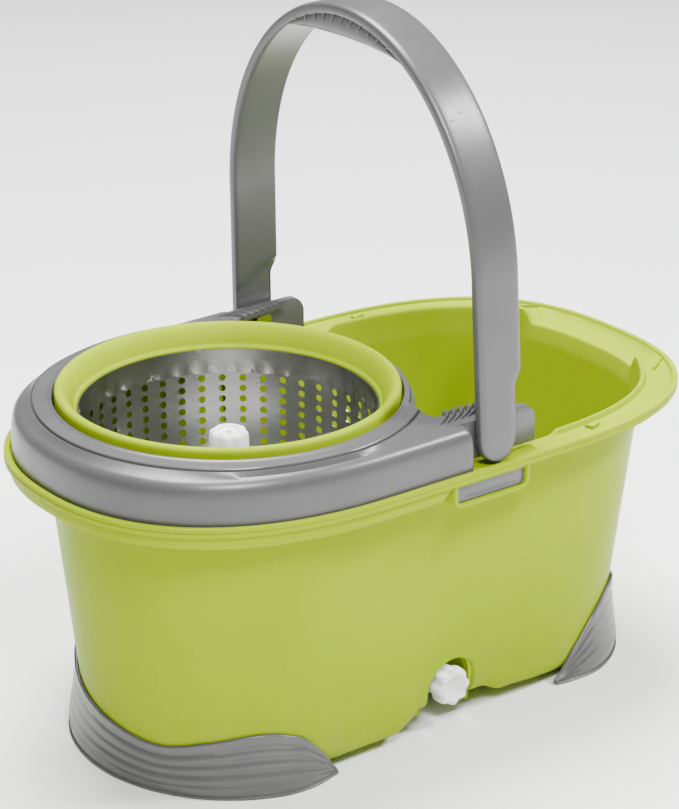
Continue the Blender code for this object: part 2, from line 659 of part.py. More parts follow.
def wall_point(end, degrees, z, away):
    """A point off the tub's wall: angle round the basket end or the pouring end, height, distance."""
    inset = wall_inset(z)
    width = TUB_HALF_WIDTH - inset
    angle = math.radians(degrees)
    cosine, sine = math.cos(angle), math.sin(angle)
    if end < 0:
        reach = ROUND_END - inset
        x, y = RING_X - reach * cosine, width * sine
        nx, ny = -cosine / reach, sine / width
        if abs(degrees) > 90:
            x, y = RING_X + (abs(degrees) - 90) * 1.8, math.copysign(width, sine)
            nx, ny = 0.0, math.copysign(1.0, sine)
    else:
        reach = NOSE_REACH - inset
        turned_angle = math.radians(degrees * 0.78)
        cosine, sine = math.cos(turned_angle), math.sin(turned_angle)
        away_x = abs(cosine) ** (2 / NOSE_POWER)
        aside = -math.copysign(abs(sine) ** (2 / NOSE_POWER), sine)
        x, y = NOSE_X + reach * away_x, width * aside
        power = 2 - 2 / NOSE_POWER
        nx = abs(cosine) ** power / reach
        ny = -math.copysign(abs(sine) ** power, sine) / width
    y -= math.copysign(waist(x, z), y)
    length = math.hypot(nx, ny)
    return x + nx / length * away, y + ny / length * away, z


def build_feet():
    """A skirt around each end carries the tub just off the floor; one is the other turned round."""
    for name, end in (("foot_basket_end", -1), ("foot_pour_end", 1)):
        steps = 48
        loops = []
        for step in range(steps + 1):
            degrees = FOOT_CREST[0][0] + (FOOT_CREST[-1][0] - FOOT_CREST[0][0]) * step / steps
            top = max(foot_crest(degrees), 4.0)
            ramp = math.sin(0.5 * math.pi * min(1.0, min(step, steps - step) / (0.14 * steps)))
            spread = FOOT_SPREAD * (0.35 + 0.65 * ramp)
            shape = [(0.6, 0.0), (spread, 0.0), (spread, 2.0), (spread * 0.66, 2.4 + top * 0.16),
                     (3.6, top * 0.55), (2.4, top), (0.6, top)]
            loops.append([wall_point(end, degrees, z, away) for away, z in shape])
        add_object(name, loft(loops), (GREY, 0.42))


reset_scene()
build_tub()
build_cover()
build_basket()
build_spindle()
build_handle()
build_grip()
build_pins()
build_drain()
build_feet()
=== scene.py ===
import json
import math
from functools import partial

import bmesh
import bpy
import numpy as np
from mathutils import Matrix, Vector


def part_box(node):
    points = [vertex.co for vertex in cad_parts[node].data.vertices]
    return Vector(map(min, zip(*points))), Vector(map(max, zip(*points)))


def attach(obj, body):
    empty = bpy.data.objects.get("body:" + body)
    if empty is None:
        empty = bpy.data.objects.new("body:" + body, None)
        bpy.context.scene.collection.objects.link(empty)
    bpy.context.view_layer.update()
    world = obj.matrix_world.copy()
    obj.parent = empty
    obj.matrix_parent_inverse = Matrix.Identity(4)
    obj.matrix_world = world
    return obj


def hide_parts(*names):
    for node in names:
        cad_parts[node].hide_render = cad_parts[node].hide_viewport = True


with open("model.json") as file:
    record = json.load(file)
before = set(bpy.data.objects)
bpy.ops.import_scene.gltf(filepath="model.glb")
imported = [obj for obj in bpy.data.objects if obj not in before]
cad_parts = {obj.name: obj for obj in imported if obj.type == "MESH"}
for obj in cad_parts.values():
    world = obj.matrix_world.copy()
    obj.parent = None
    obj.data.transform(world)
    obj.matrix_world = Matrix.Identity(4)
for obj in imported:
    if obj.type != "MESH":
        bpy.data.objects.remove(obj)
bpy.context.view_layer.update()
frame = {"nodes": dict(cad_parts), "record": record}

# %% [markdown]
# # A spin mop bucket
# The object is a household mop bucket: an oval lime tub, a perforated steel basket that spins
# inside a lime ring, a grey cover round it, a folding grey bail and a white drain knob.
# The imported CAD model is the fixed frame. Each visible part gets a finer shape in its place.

MM = 0.001
nodes = frame["nodes"]


def low_high(name):
    """The node's lowest and highest corner, in millimetres."""
    low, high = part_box(name)
    return low / MM, high / MM


# %% [markdown]
# ## Shared tools
# Nearly every part here is a moulding, so most shapes are skins stretched over a row of loops.
# One function makes a skin, one draws an arc, and one gives the finished object its material.
# Work is in millimetres, because the real drawings would be; the mesh is scaled at the end.

# %% Skins, arcs and finished objects
SHARP_DEGREES = 32.0


def smooth(value, low, high):
    """0 below low, 1 above high and an S curve between."""
    share = min(max((value - low) / (high - low), 0.0), 1.0)
    return share * share * (3 - 2 * share)


def skin(bm, loops, closed=False, caps=True):
    """Add a skin over equal loops to a bmesh and return its rows of vertices."""
    rows = [[bm.verts.new(point) for point in loop] for loop in loops]
    pairs = list(zip(rows, rows[1:]))
    if closed:
        pairs.append((rows[-1], rows[0]))
    count = len(rows[0])
    for first, second in pairs:
        for i in range(count):
            j = (i + 1) % count
            bm.faces.new((first[i], first[j], second[j], second[i]))
    if caps and not closed:
        bm.faces.new(rows[0])
        bm.faces.new(rows[-1])
    return rows


def ring_points(x, y, z, radius, count, lobes=0, depth=0.0):
    """A circle about a vertical axis, with optional lobes."""
    points = []
    for step in range(count):
        angle = 2 * math.pi * step / count
        r = radius - depth * (0.5 - 0.5 * math.cos(lobes * angle))
        points.append((x + r * math.cos(angle), y + r * math.sin(angle), z))
    return points


def arc(x, z, reach, start, end, steps, rise=None):
    """Points of an arc between two angles in degrees; rise makes it an ellipse."""
    rise = reach if rise is None else rise
    angles = [math.radians(start + (end - start) * step / steps) for step in range(steps + 1)]
    return [(x + reach * math.cos(angle), z + rise * math.sin(angle)) for angle in angles]


def finished(name, bm, look, angle=SHARP_DEGREES):
    """Turn a bmesh in millimetres into a shaded object that stands in its place."""
    bmesh.ops.scale(bm, vec=(MM, MM, MM), verts=bm.verts)
    bmesh.ops.remove_doubles(bm, verts=bm.verts, dist=1e-7)
    bmesh.ops.recalc_face_normals(bm, faces=bm.faces)
    mesh = bpy.data.meshes.new(name)
    bm.to_mesh(mesh)
    bm.free()
    item = bpy.data.objects.new(name, mesh)
    bpy.context.scene.collection.objects.link(item)
    if look is not None:
        mesh.materials.append(look)
    mesh.shade_smooth()
    mesh.set_sharp_from_angle(angle=math.radians(angle))
    return item


def settle(item):
    """Apply an object's modifiers, so that its mesh is what shows."""
    graph = bpy.context.evaluated_depsgraph_get()
    mesh = bpy.data.meshes.new_from_object(item.evaluated_get(graph))
    item.modifiers.clear()
    item.data = mesh
    return item


def carve(item, cutters, operation='DIFFERENCE'):
    """Cut or join other closed shapes into an object, then drop them."""
    for cutter in cutters:
        step = item.modifiers.new("carve", 'BOOLEAN')
        step.object = cutter
        step.operation = operation
        step.solver = 'EXACT'
    settle(item)
    for cutter in cutters:
        bpy.data.objects.remove(cutter, do_unlink=True)
    item.data.shade_smooth()
    item.data.set_sharp_from_angle(angle=math.radians(SHARP_DEGREES))
    return item


def sweep(bm, path, radius, sides):
    """A small rounded bar along a path of points, thinner at its ends."""
    loops = []
    last = len(path) - 1
    for i, point in enumerate(path):
        here = Vector(point)
        ahead = Vector(path[min(i + 1, last)]) - Vector(path[max(i - 1, 0)])
        ahead.normalize()
        side = ahead.cross(Vector((0, 0, 1)))
        if side.length < 0.1:
            side = ahead.cross(Vector((1, 0, 0)))
        side.normalize()
        up = side.cross(ahead)
        size = radius * math.sqrt(max(1 - abs(2 * i / last - 1) ** 4, 0.02))
        loop = []
        for step in range(sides):
            angle = 2 * math.pi * step / sides
            loop.append(here + side * size * math.cos(angle) + up * size * math.sin(angle))
        loops.append(loop)
    skin(bm, loops)


print("tools ready")

# %% [markdown]
# ## Materials
# Each plastic is one function with different numbers: a broad colour drift from the moulding,
# a fine grain in the bump, roughness that changes with handling marks, hairline scratches and
# a little grey dust towards the floor. Object coordinates keep every pattern fixed to its part.

# %% Node helpers
def feed(tree, node, feeds):
    """Set a node's inputs: a socket is linked, anything else is a constant."""
    for key, value in feeds.items():
        if isinstance(value, bpy.types.NodeSocket):
            tree.links.new(value, node.inputs[key])
        else:
            node.inputs[key].default_value = value


def add(tree, kind, feeds=None, **settings):
    """One node with its properties and its inputs set."""
    made = tree.nodes.new(kind)
    for key, value in settings.items():
        setattr(made, key, value)
    feed(tree, made, feeds or {})
    return made


def split(tree, source):
    """The three parts of a vector."""
    return add(tree, "ShaderNodeSeparateXYZ", {0: source}).outputs


def maths(tree, operation, *values):
    """One arithmetic step on sockets or numbers."""
    return add(tree, "ShaderNodeMath", dict(enumerate(values)), operation=operation).outputs[0]


def noise(tree, coords, scale, detail=2.0, stretch=None):
    """Noise in object space, stretched along an axis if asked."""
    if stretch:
        coords = add(tree, "ShaderNodeMapping", {"Vector": coords, "Scale": stretch}).outputs["Vector"]
    return add(tree, "ShaderNodeTexNoise", {"Vector": coords, "Scale": scale, "Detail": detail}).outputs["Fac"]


def ramp(tree, value, low, high, start=0.0, end=1.0):
    """Map a value from low..high to start..end."""
    return add(tree, "ShaderNodeMapRange", {"Value": value, "From Min": low, "From Max": high,
                                            "To Min": start, "To Max": end}).outputs["Result"]


def mix(tree, factor, first, second):
    """Blend two colours; either may be a socket."""
    first, second = ((*value, 1.0) if isinstance(value, tuple) else value for value in (first, second))
    return add(tree, "ShaderNodeMix", {0: factor, 6: first, 7: second}, data_type='RGBA').outputs[2]


def bump(tree, height, strength, distance):
    """A normal that follows a height."""
    feeds = {"Height": height, "Strength": strength, "Distance": distance}
    return add(tree, "ShaderNodeBump", feeds).outputs["Normal"]


def blank(name):
    """A new material with its tree, its shader and the object coordinates."""
    made = bpy.data.materials.new(name)
    made.use_nodes = True
    tree = made.node_tree
    return made, tree, tree.nodes["Principled BSDF"], add(tree, "ShaderNodeTexCoord").outputs["Object"]


# %% Plastics
DUST = (0.30, 0.29, 0.26)
SUBSURFACE_DEPTH = 0.004


def plastic(name, base, deep, rough, grain=0.12, dust=0.15, glow=0.0, shine=0.4):
    """A moulded plastic with drift, grain, handling marks, scratches and dust."""
    made, tree, shader, coords = blank(name)
    drift = ramp(tree, noise(tree, coords, 7.0, 3.0), 0.35, 0.65)
    colour = mix(tree, drift, base, deep)
    speck = ramp(tree, noise(tree, coords, 900.0, 2.0), 0.62, 0.75, 0.0, 0.10)
    colour = mix(tree, speck, colour, tuple(0.6 * part for part in base))
    scratch = ramp(tree, noise(tree, coords, 60.0, 2.0, (1.0, 9.0, 0.6)), 0.66, 0.72, 0.0, 0.16)
    colour = mix(tree, scratch, colour, tuple(min(1.0, part * 1.2 + 0.004) for part in base))
    low = ramp(tree, split(tree, coords)[2], 0.0, 0.07, 1.0, 0.0)
    patch = ramp(tree, noise(tree, coords, 38.0, 5.0), 0.45, 0.75, 0.0, dust)
    colour = mix(tree, maths(tree, 'MULTIPLY', low, patch), colour, DUST)
    marks = ramp(tree, noise(tree, coords, 24.0, 6.0), 0.3, 0.7, rough - 0.04, rough + 0.07)
    rougher = maths(tree, 'ADD', marks, maths(tree, 'MULTIPLY', scratch, 0.8))
    fine = maths(tree, 'MULTIPLY', noise(tree, coords, 1400.0, 3.0), grain)
    height = maths(tree, 'ADD', fine, noise(tree, coords, 16.0, 1.0))
    feed(tree, shader, {"Base Color": colour, "Roughness": rougher, "Normal": bump(tree, height, 0.22, 0.0006)})
    shader.inputs["IOR"].default_value = 1.45
    shader.inputs["Specular IOR Level"].default_value = shine
    shader.inputs["Subsurface Weight"].default_value = glow
    shader.inputs["Subsurface Scale"].default_value = SUBSURFACE_DEPTH
    return made


LIME = plastic("lime_plastic", (0.255, 0.350, 0.0), (0.230, 0.320, 0.0), 0.34, shine=0.03)
GREY = plastic("grey_plastic", (0.075, 0.075, 0.076), (0.062, 0.062, 0.063), 0.30, 0.35, 0.1, shine=0.65)
WHITE = plastic("white_plastic", (0.86, 0.86, 0.85), (0.80, 0.80, 0.79), 0.33, 0.10, dust=0.2, glow=0.05)
RUBBER = plastic("seal_rubber", (0.030, 0.030, 0.031), (0.022, 0.022, 0.022), 0.68, 0.8)
print("plastics", [item.name for item in (LIME, GREY, WHITE, RUBBER)])

# %% [markdown]
# ## Steel
# The basket is rolled from thin stainless sheet, so its brushing runs level round the drum.
# Noise that is stretched flat gives that: fine along Z, long across. Faint water spots sit on it.
# The spindle's turned parts use the same recipe with finer lines.

# %% Brushed steel
def steel(name, tone, rough, lines):
    """Stainless steel with level brushing, clouded roughness and dried water spots."""
    made, tree, shader, coords = blank(name)
    brushed = noise(tree, coords, lines, 4.0, (0.05, 0.05, 6.0))
    spots = add(tree, "ShaderNodeTexVoronoi", {"Vector": coords, "Scale": 85.0})
    spot = ramp(tree, spots.outputs["Distance"], 0.10, 0.22, 0.5, 0.0)
    spot = maths(tree, 'MULTIPLY', spot, ramp(tree, noise(tree, coords, 9.0), 0.5, 0.7))
    darker = tuple(part * 0.80 for part in tone)
    colour = mix(tree, ramp(tree, brushed, 0.3, 0.7), tone, darker)
    colour = mix(tree, spot, colour, (0.55, 0.55, 0.52))
    dull = ramp(tree, noise(tree, coords, 11.0, 3.0), 0.3, 0.7, rough - 0.04, rough + 0.08)
    dull = maths(tree, 'ADD', dull, maths(tree, 'MULTIPLY', spot, 0.25))
    feed(tree, shader, {"Base Color": colour, "Roughness": dull, "Metallic": 1.0,
                        "Normal": bump(tree, brushed, 0.16, 0.00015)})
    return made


DRUM_STEEL = steel("drum_steel", (0.50, 0.50, 0.495), 0.22, 260.0)
PIN_STEEL = steel("pin_steel", (0.60, 0.60, 0.59), 0.22, 700.0)
LOOKS = {"lime_plastic": LIME, "grey_plastic": GREY, "white_plastic": WHITE,
         "drum_steel": DRUM_STEEL, "pin_steel": PIN_STEEL, "seal_rubber": RUBBER}
SLOT_OF = {part["node"]: part["material_slot"] for part in frame["record"]["subparts"]}
BODY_OF = {}
for body, members in frame["record"]["behaviour"]["bodies"].items():
    for member in members:
        BODY_OF[member] = body
for name, item in nodes.items():
    item.data.materials.clear()
    item.data.materials.append(LOOKS[SLOT_OF[name]])
print("CAD nodes finished:", len(nodes))


def stands_for(item, *names):
    """The finer piece takes the place and the body of its CAD nodes, which are hidden."""
    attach(item, BODY_OF[names[0]])
    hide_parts(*names)
    return item


# %% [markdown]
# ## The tub
# The tub is one injection moulding: a round end, straight sides and a blunt pouring end.
# Its plan at any level is one outline, set in by the draft of the walls. So the tub is a skin
# over many such outlines: out over the rim, down the wall, under the floor and back up inside.
# From a crease behind the basket the side steps in by a few millimetres, and the bottom edge
# rises there, as the two ends stand lower than the middle.

# %% Outlines of the tub
tub_low, tub_high = low_high("bucket")
axis_low, axis_high = low_high("basket_ring")
HALF_WIDTH = tub_high.y
RING_X = (axis_low.x + axis_high.x) / 2
ROUND_END = RING_X - tub_low.x
NOSE_X = 60.0
NOSE_REACH = tub_high.x - NOSE_X
NOSE_POWER = 2.6
FLOOR_Z = tub_low.z
FLANGE_Z = 206.0
WALL_PLAN_HALF = 145.0
RIM_ROUND_X = -66.0
RIM_POWER = 2.35
RIM_INNER = 26.0
ROUND_STEPS = 40
WALL_TOP_Z = 190.0
WALL_TOP_INSET = 25.5
WALL_DRAFT = 0.108
TUB_WALL = 3.0
SPOUT_HALF = 55.0
BEAD_START_X = 74.0
CREASE_TOP_X, CREASE_SHIFT = -21.0, 3.0
WAIST_TOP, WAIST_FOOT, WAIST_END_X = 2.5, 6.0, 195.0
STEP_SHARE, STEP_RUN, EASE_RUN = 0.7, 1.8, 15.0
RIDGE_X, RIDGE_Z, RIDGE_SLOPE = 37.0, 155.0, 0.22
LIFT = 9.0


def wall_inset(z):
    """How far the wall stands in from the flange edge at a height."""
    return WALL_TOP_INSET + (WALL_TOP_Z - z) * WALL_DRAFT


def crease_x(z):
    """The upright crease where the side steps in."""
    return CREASE_TOP_X + CREASE_SHIFT * (WALL_TOP_Z - z) / WALL_TOP_Z


def waist(x, z):
    """Depth of the recessed side: in at the crease, then out again beyond a soft ridge."""
    share = min(max((WALL_TOP_Z - z) / (WALL_TOP_Z - FLOOR_Z), 0.0), 1.0)
    depth = WAIST_TOP + (WAIST_FOOT - WAIST_TOP) * share
    past = max(x - crease_x(z), 0.0)
    rise = STEP_SHARE * min(past / STEP_RUN, 1.0) + (1 - STEP_SHARE) * min(past / EASE_RUN, 1.0)
    ridge = RIDGE_X + (RIDGE_Z - z) * RIDGE_SLOPE
    fade = max(1.0 - max(x - ridge, 0.0) / (WAIST_END_X - ridge), 0.0)
    return depth * rise * fade ** 1.4


def lift(x):
    """How far the bottom edge is raised along the middle of the side."""
    end = (1.0 - 0.8 * smooth(x, 44.0, 62.0)) * (1.0 - smooth(x, 62.0, 120.0))
    return LIFT * smooth(x, -36.0, -16.0) * end


def half_outline(inset, z, recessed):
    """One side of the tub at one level, from the round end to the pouring end."""
    centre, width, power = RING_X, WALL_PLAN_HALF - inset, 2.0
    if not recessed:
        share = inset / RIM_INNER
        centre = RIM_ROUND_X + (RING_X - RIM_ROUND_X) * share
        width = HALF_WIDTH + (WALL_PLAN_HALF - RIM_INNER - HALF_WIDTH) * share
        power = RIM_POWER + (2.0 - RIM_POWER) * share
    reach = centre - RING_X + ROUND_END - inset
    points = []
    for step in range(ROUND_STEPS + 1):
        angle = 0.5 * math.pi * step / ROUND_STEPS
        away = max(math.cos(angle), 0.0) ** (2 / power)
        points.append((centre - reach * away, width * math.sin(angle) ** (2 / power)))
    crease = crease_x(z)
    places = list(np.linspace(RIM_ROUND_X + 3.0, crease, 18))
    places += [crease + past for past in (0.8, 1.6, 3.0, 5.0, 8.0, 11.0, 15.0)]
    places += list(np.linspace(crease + 15.0, NOSE_X, 20)[1:-1])
    points += [(float(x), width) for x in places]
    corner = 0.5 ** (1 / NOSE_POWER)
    nose = []
    for share in np.linspace(0.0, corner, 32):
        nose.append((float(share), float((1 - share ** NOSE_POWER) ** (1 / NOSE_POWER))))
    nose += [(aside, along) for along, aside in reversed(nose[:-1])]
    points += [(NOSE_X + (NOSE_REACH - inset) * along, width * aside) for along, aside in nose]
    if recessed:
        points = [(x, y - waist(x, z)) for x, y in points]
    return points


def tub_loop(inset, z, recessed=False):
    """The whole outline at one level; near the bottom the sides are lifted."""
    side = half_outline(inset, z, recessed)
    flat = side + [(x, -y) for x, y in reversed(side[1:-1])]
    near = min(max(1.0 - (z - FLOOR_Z - TUB_WALL) / 60.0, 0.0), 1.0) if recessed else 0.0
    return [(x, y, z + lift(x) * near) for x, y in flat]


def rim_loop(inset, plain, beaded, spout):
    """A rim line: its height beside the cover, along the tank's bead and across the spout."""
    loop = []
    for x, y, _ in tub_loop(inset, 0.0):
        z = plain + (beaded - plain) * smooth(x, BEAD_START_X, BEAD_START_X + 4.0)
        if x > 120.0:
            if beaded > FLANGE_Z:
                z += 2.0 * math.exp(-((abs(y) - SPOUT_HALF - 8.0) / 7.0) ** 2)
            z += (spout - z) * (1.0 - smooth(abs(y), SPOUT_HALF - 3.0, SPOUT_HALF + 3.0))
        loop.append((x, y, z))
    return loop


print("tub outline, round end", round(ROUND_END, 1), "half width", round(HALF_WIDTH, 1))

# %% [markdown]
# The rim is the busiest part of the tub. Going outward it has the tank's bead, a shallow channel
# in which the cover's skirt stands, a raised lip with a hairline groove, and a skirt turned down
# under it. At the pouring end there is no bead: the channel becomes a scoop that guides water out.

# %% Tub skin
RIM = [(26.0, 202.6, 203.0, 197.2), (25.8, 203.6, 205.6, 198.2), (25.2, 204.0, 207.0, 198.9),
       (24.2, 204.2, 207.7, 199.1), (23.2, 204.2, 207.6, 199.0), (22.4, 204.1, 206.9, 198.7),
       (21.8, 204.0, 205.4, 198.4), (21.2, 204.0, 204.3, 198.3), (18.0, 204.0, 204.0, 198.4),
       (14.0, 204.0, 204.0, 199.0), (10.0, 204.0, 204.0, 200.3), (7.0, 204.0, 204.0, 201.9),
       (4.6, 204.0, 204.0, 203.6), (4.2, 204.1, 204.1, 204.1), (3.9, 205.6, 205.6, 205.6),
       (3.4, 206.0, 206.0, 206.0)]
LIP = [(2.6, 206.0), (0.9, 206.0), (0.3, 205.7), (0.05, 205.1), (0.0, 203.4), (0.35, 203.2),
       (0.35, 202.8), (0.0, 202.6), (0.0, 200.5), (0.3, 199.9), (2.4, 199.7)]
COLLAR = [(2.8, 0.02), (3.0, 0.3), (3.3, 0.93), (3.7, 1.0), (5.6, 1.0), (6.1, 0.93)]
COLLAR_TOP, COLLAR_DEPTH, COLLAR_SHALLOW = 199.6, 8.6, 2.4
UNDER = [(6.4, 199.3, 199.3, 194.6), (7.2, 199.8, 199.8, 194.6), (21.5, 199.8, 199.8, 194.4),
         (23.8, 198.9, 198.9, 193.6), (24.8, 196.0, 196.0, 192.0)]
LEVELS = [190, 186, 180, 172, 164, 155, 145, 135, 125, 115, 105, 95, 85, 75, 66, 58, 51, 44, 38, 32, 27,
          23, 19, 16]


def collar_loop(inset, share):
    """The skirt under the lip: deep beside the basket, shallow from the latch on."""
    loop = []
    for x, y, _ in tub_loop(inset, 0.0):
        deep = COLLAR_DEPTH - (COLLAR_DEPTH - COLLAR_SHALLOW) * smooth(x, -31.0, -22.0)
        loop.append((x, y, COLLAR_TOP - share * deep))
    return loop


def tub_bmesh():
    """The tub without its niche."""
    foot = wall_inset(FLOOR_Z)
    high = FLOOR_Z + TUB_WALL
    outer = [rim_loop(*line) for line in RIM] + [tub_loop(*line) for line in LIP]
    outer += [collar_loop(*line) for line in COLLAR] + [rim_loop(*line) for line in UNDER]
    outer += [tub_loop(wall_inset(z), z, True) for z in LEVELS]
    for inward, up in ((0.4, 4.2), (1.3, 2.2), (2.8, 0.8), (4.6, 0.1), (6.0, 0.0), (26.0, 0.0)):
        outer.append(tub_loop(foot + inward, FLOOR_Z + up, True))
    outer.append([(x, y, FLOOR_Z) for x, y, _ in tub_loop(foot + 28, FLOOR_Z, True)])
    inner = [[(x, y, high) for x, y, _ in tub_loop(foot + 31.5, high, True)]]
    for inward, up in ((30.5, 0.0), (9.0, 0.0), (6.4, 0.5), (4.4, 1.9), (3.3, 4.0)):
        inner.append(tub_loop(foot + inward, high + up, True))
    inner += [tub_loop(wall_inset(z) + TUB_WALL, z, True) for z in reversed(LEVELS)]
    bm = bmesh.new()
    outer_rows = skin(bm, outer, caps=False)
    inner_rows = skin(bm, inner, caps=False)
    bm.faces.new(outer_rows[-1])
    bm.faces.new(inner_rows[0])
    top, rim = inner_rows[-1], outer_rows[0]
    for i in range(len(top)):
        j = (i + 1) % len(top)
        bm.faces.new((top[i], top[j], rim[j], rim[i]))
    return bm


bucket = finished("tub_shell", tub_bmesh(), LIME)
print("tub faces", len(bucket.data.polygons))

# %% [markdown]
# Low on the front a niche takes the drain knob, so that it doesn't stick out beyond the tub.
# It is an arch, open at the bottom edge. A hump behind it keeps the tub closed. Both are cut with
# closed shapes, because the niche crosses the curved wall at a slant that no loop would follow.

# %% Drain niche
plug_low, plug_high = low_high("drain_plug")
outlet_low, _ = low_high("drain_outlet")
DRAIN_X = (plug_low.x + plug_high.x) / 2
DRAIN_Z = (plug_low.z + plug_high.z) / 2
NICHE_BACK = outlet_low.y + 4.3
NICHE_R = 19.5
NICHE_WALL = 3.0
OUTLET_HOLE_R = 8.8


def arch(radius, low):
    """An arch in X and Z, open downward."""
    return arc(DRAIN_X, DRAIN_Z, radius, 0, 180, 32) + [(DRAIN_X - radius, low), (DRAIN_X + radius, low)]


def plate(outline, start, end):
    """A lime cutter: an outline in X and Z pushed along Y."""
    bm = bmesh.new()
    skin(bm, [[(x, y, z) for x, z in outline] for y in (start, end)])
    return finished("plate", bm, LIME)


carve(bucket, [plate(arch(NICHE_R + NICHE_WALL, FLOOR_Z + 1.0), NICHE_BACK + NICHE_WALL, -86.0)], 'UNION')
flare = bmesh.new()
wide = [(-130.0, 4.0), (-98.6, 2.6), (-96.6, 1.2), (-94.4, 0.35), (-92.0, 0.0), (NICHE_BACK, 0.0)]
skin(flare, [[(x, y, z) for x, z in arch(NICHE_R + more, -5.0)] for y, more in wide])
bore = [(x, z) for x, z, _ in ring_points(DRAIN_X, DRAIN_Z, 0.0, OUTLET_HOLE_R, 48)]
carve(bucket, [finished("niche", flare, LIME), plate(bore, -90.0, -50.0)])
print("niche at", round(DRAIN_X, 1), round(DRAIN_Z, 1))

# %% [markdown]
# Under the rim, where the cover clips on, the tub has a U-shaped frame on each side. A bar with a
# soft section follows the U. Small webs stiffen the channel at the spout's corners, and a tiny
# wedge on the lip marks where the cover ends.

# %% Latch frames and small webs
clip_low, clip_high = low_high("cover_clip_front")
FRAME_LEFT, FRAME_RIGHT = clip_low.x - 3.3, clip_high.x + 3.3
FRAME_LOW = clip_low.z - 3.3
FRAME_CORNER = 7.0
CLIP_FACE = -clip_low.y


def u_path(inset, corner, top):
    """The U in X and Z, down one side, across and up the other."""
    left, right, low = FRAME_LEFT + inset, FRAME_RIGHT - inset, FRAME_LOW + inset
    middle = (top + low + corner) / 2
    return ([(left, top), (left, middle)] + arc(left + corner, low + corner, corner, 180, 270, 8)
            + arc(right - corner, low + corner, corner, 270, 360, 8) + [(right, middle), (right, top)])


extra = bmesh.new()
for side in (-1, 1):
    far, near = CLIP_FACE + 2.2, CLIP_FACE - 18.6
    section = [(0.0, far - 0.9), (0.3, far - 0.25), (0.9, far), (2.1, far), (2.7, far - 0.25),
               (3.0, far - 0.9), (3.0, near), (0.0, near)]
    rails = []
    for inset, y in section:
        rails.append([(x, side * y, z) for x, z in u_path(inset, FRAME_CORNER - inset, 200.4)])
    skin(extra, [list(loop) for loop in zip(*rails)])
    back = u_path(2.9, 4.1, 200.2)
    skin(extra, [[(x, side * y, z) for x, z in back] for y in (near, CLIP_FACE - 3.2)])
    for x, y in ((212.0, 71.0), (219.0, 66.0)):
        web = [(x - 5.5, y + 5.6, 203.9), (x + 5.5, y - 1.0, 203.9), (x + 5.5, y - 1.0, 205.6),
               (x - 5.5, y + 5.6, 206.2)]
        skin(extra, [[(a, side * (b + c), z) for a, b, z in web] for c in (-0.6, 0.6)])
    wedge = [(101.0, 124.0), (112.0, 126.5), (103.0, 130.0)]
    skin(extra, [[(a, side * b, z) for a, b in wedge] for z in (203.8, 206.3)])
latches = finished("latch_frames", extra, LIME)
stands_for(bucket, "bucket")
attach(latches, BODY_OF["bucket"])
print("latch frame", round(FRAME_LEFT, 1), round(FRAME_RIGHT, 1))

# %% [markdown]
# ## The cover round the basket
# The cover is one moulding too. Its cut line runs up the skirt, over a rounded shoulder, along a
# gentle slope to a groove, then over an inner strip to a thin bead beside the spinning ring.
# Stations pair a point on the outer edge with a point on the hole's edge, so one cut line can be
# carried all the way round, wide beside the ring's shoulder and narrow behind it.

# %% Cover skin
cover_low, cover_high = low_high("spinner_cover")
COVER_INSET = cover_low.x - tub_low.x
COVER_FOOT = cover_low.z
COVER_TOP = cover_high.z
COVER_END = -3.0
END_ROUND = 3.0
END_FOOT = 222.0
HOLE_R = 113.5
EDGE_R = 121.0
EDGE_FOOT = 224.0
EDGE_DEGREES = 48
CUT_OUTER = [(0.0, 0.0), (0.1, 7.0), (0.3, 14.0), (0.7, 19.0), (1.1, 22.0), (1.8, 24.4), (2.8, 26.3),
             (4.2, 27.8), (6.0, 29.0), (8.0, 29.9)]
CUT_INNER = [(14.4, 33.0), (13.9, 33.0), (13.5, 32.4), (13.1, 31.7), (12.7, 32.1), (12.5, 33.8),
             (12.0, 34.4), (10.5, 34.6), (6.0, 34.8), (3.0, 35.0), (2.4, 35.2), (1.7, 35.7), (1.0, 35.7),
             (0.4, 35.3), (0.0, 34.6), (0.0, 21.7), (6.0, 20.5)]


def cover_stations():
    """Outer point, hole angle and foot height along one side."""
    outline = half_outline(COVER_INSET, 0.0, False)
    width = outline[ROUND_STEPS + 1][1]
    straight = np.linspace(-62.0, COVER_END - END_ROUND, 18)
    outline = outline[:ROUND_STEPS + 1] + [(float(x), width) for x in straight]
    made = [((x, y), math.atan2(y, x - RING_X), COVER_FOOT) for x, y in outline]
    corner = arc(COVER_END - END_ROUND, width - END_ROUND, END_ROUND, 90, 0, 6)
    for step, spot in enumerate(corner[1:], 1):
        made.append((spot, math.radians(55 - 0.4 * step), COVER_FOOT))
    for share in (0.3, 0.6, 1.0):
        foot = COVER_FOOT + (END_FOOT - COVER_FOOT) * share ** 3
        spot = (COVER_END - 9.0 * share, width - END_ROUND - 26.0 * share)
        made.append((spot, math.radians(52.5 - 2.0 * share), foot))
    for step in range(1, 31):
        angle = math.radians(EDGE_DEGREES * (1 - step / 30))
        made.append(((RING_X + EDGE_R * math.cos(angle), EDGE_R * math.sin(angle)), angle, EDGE_FOOT))
    return made


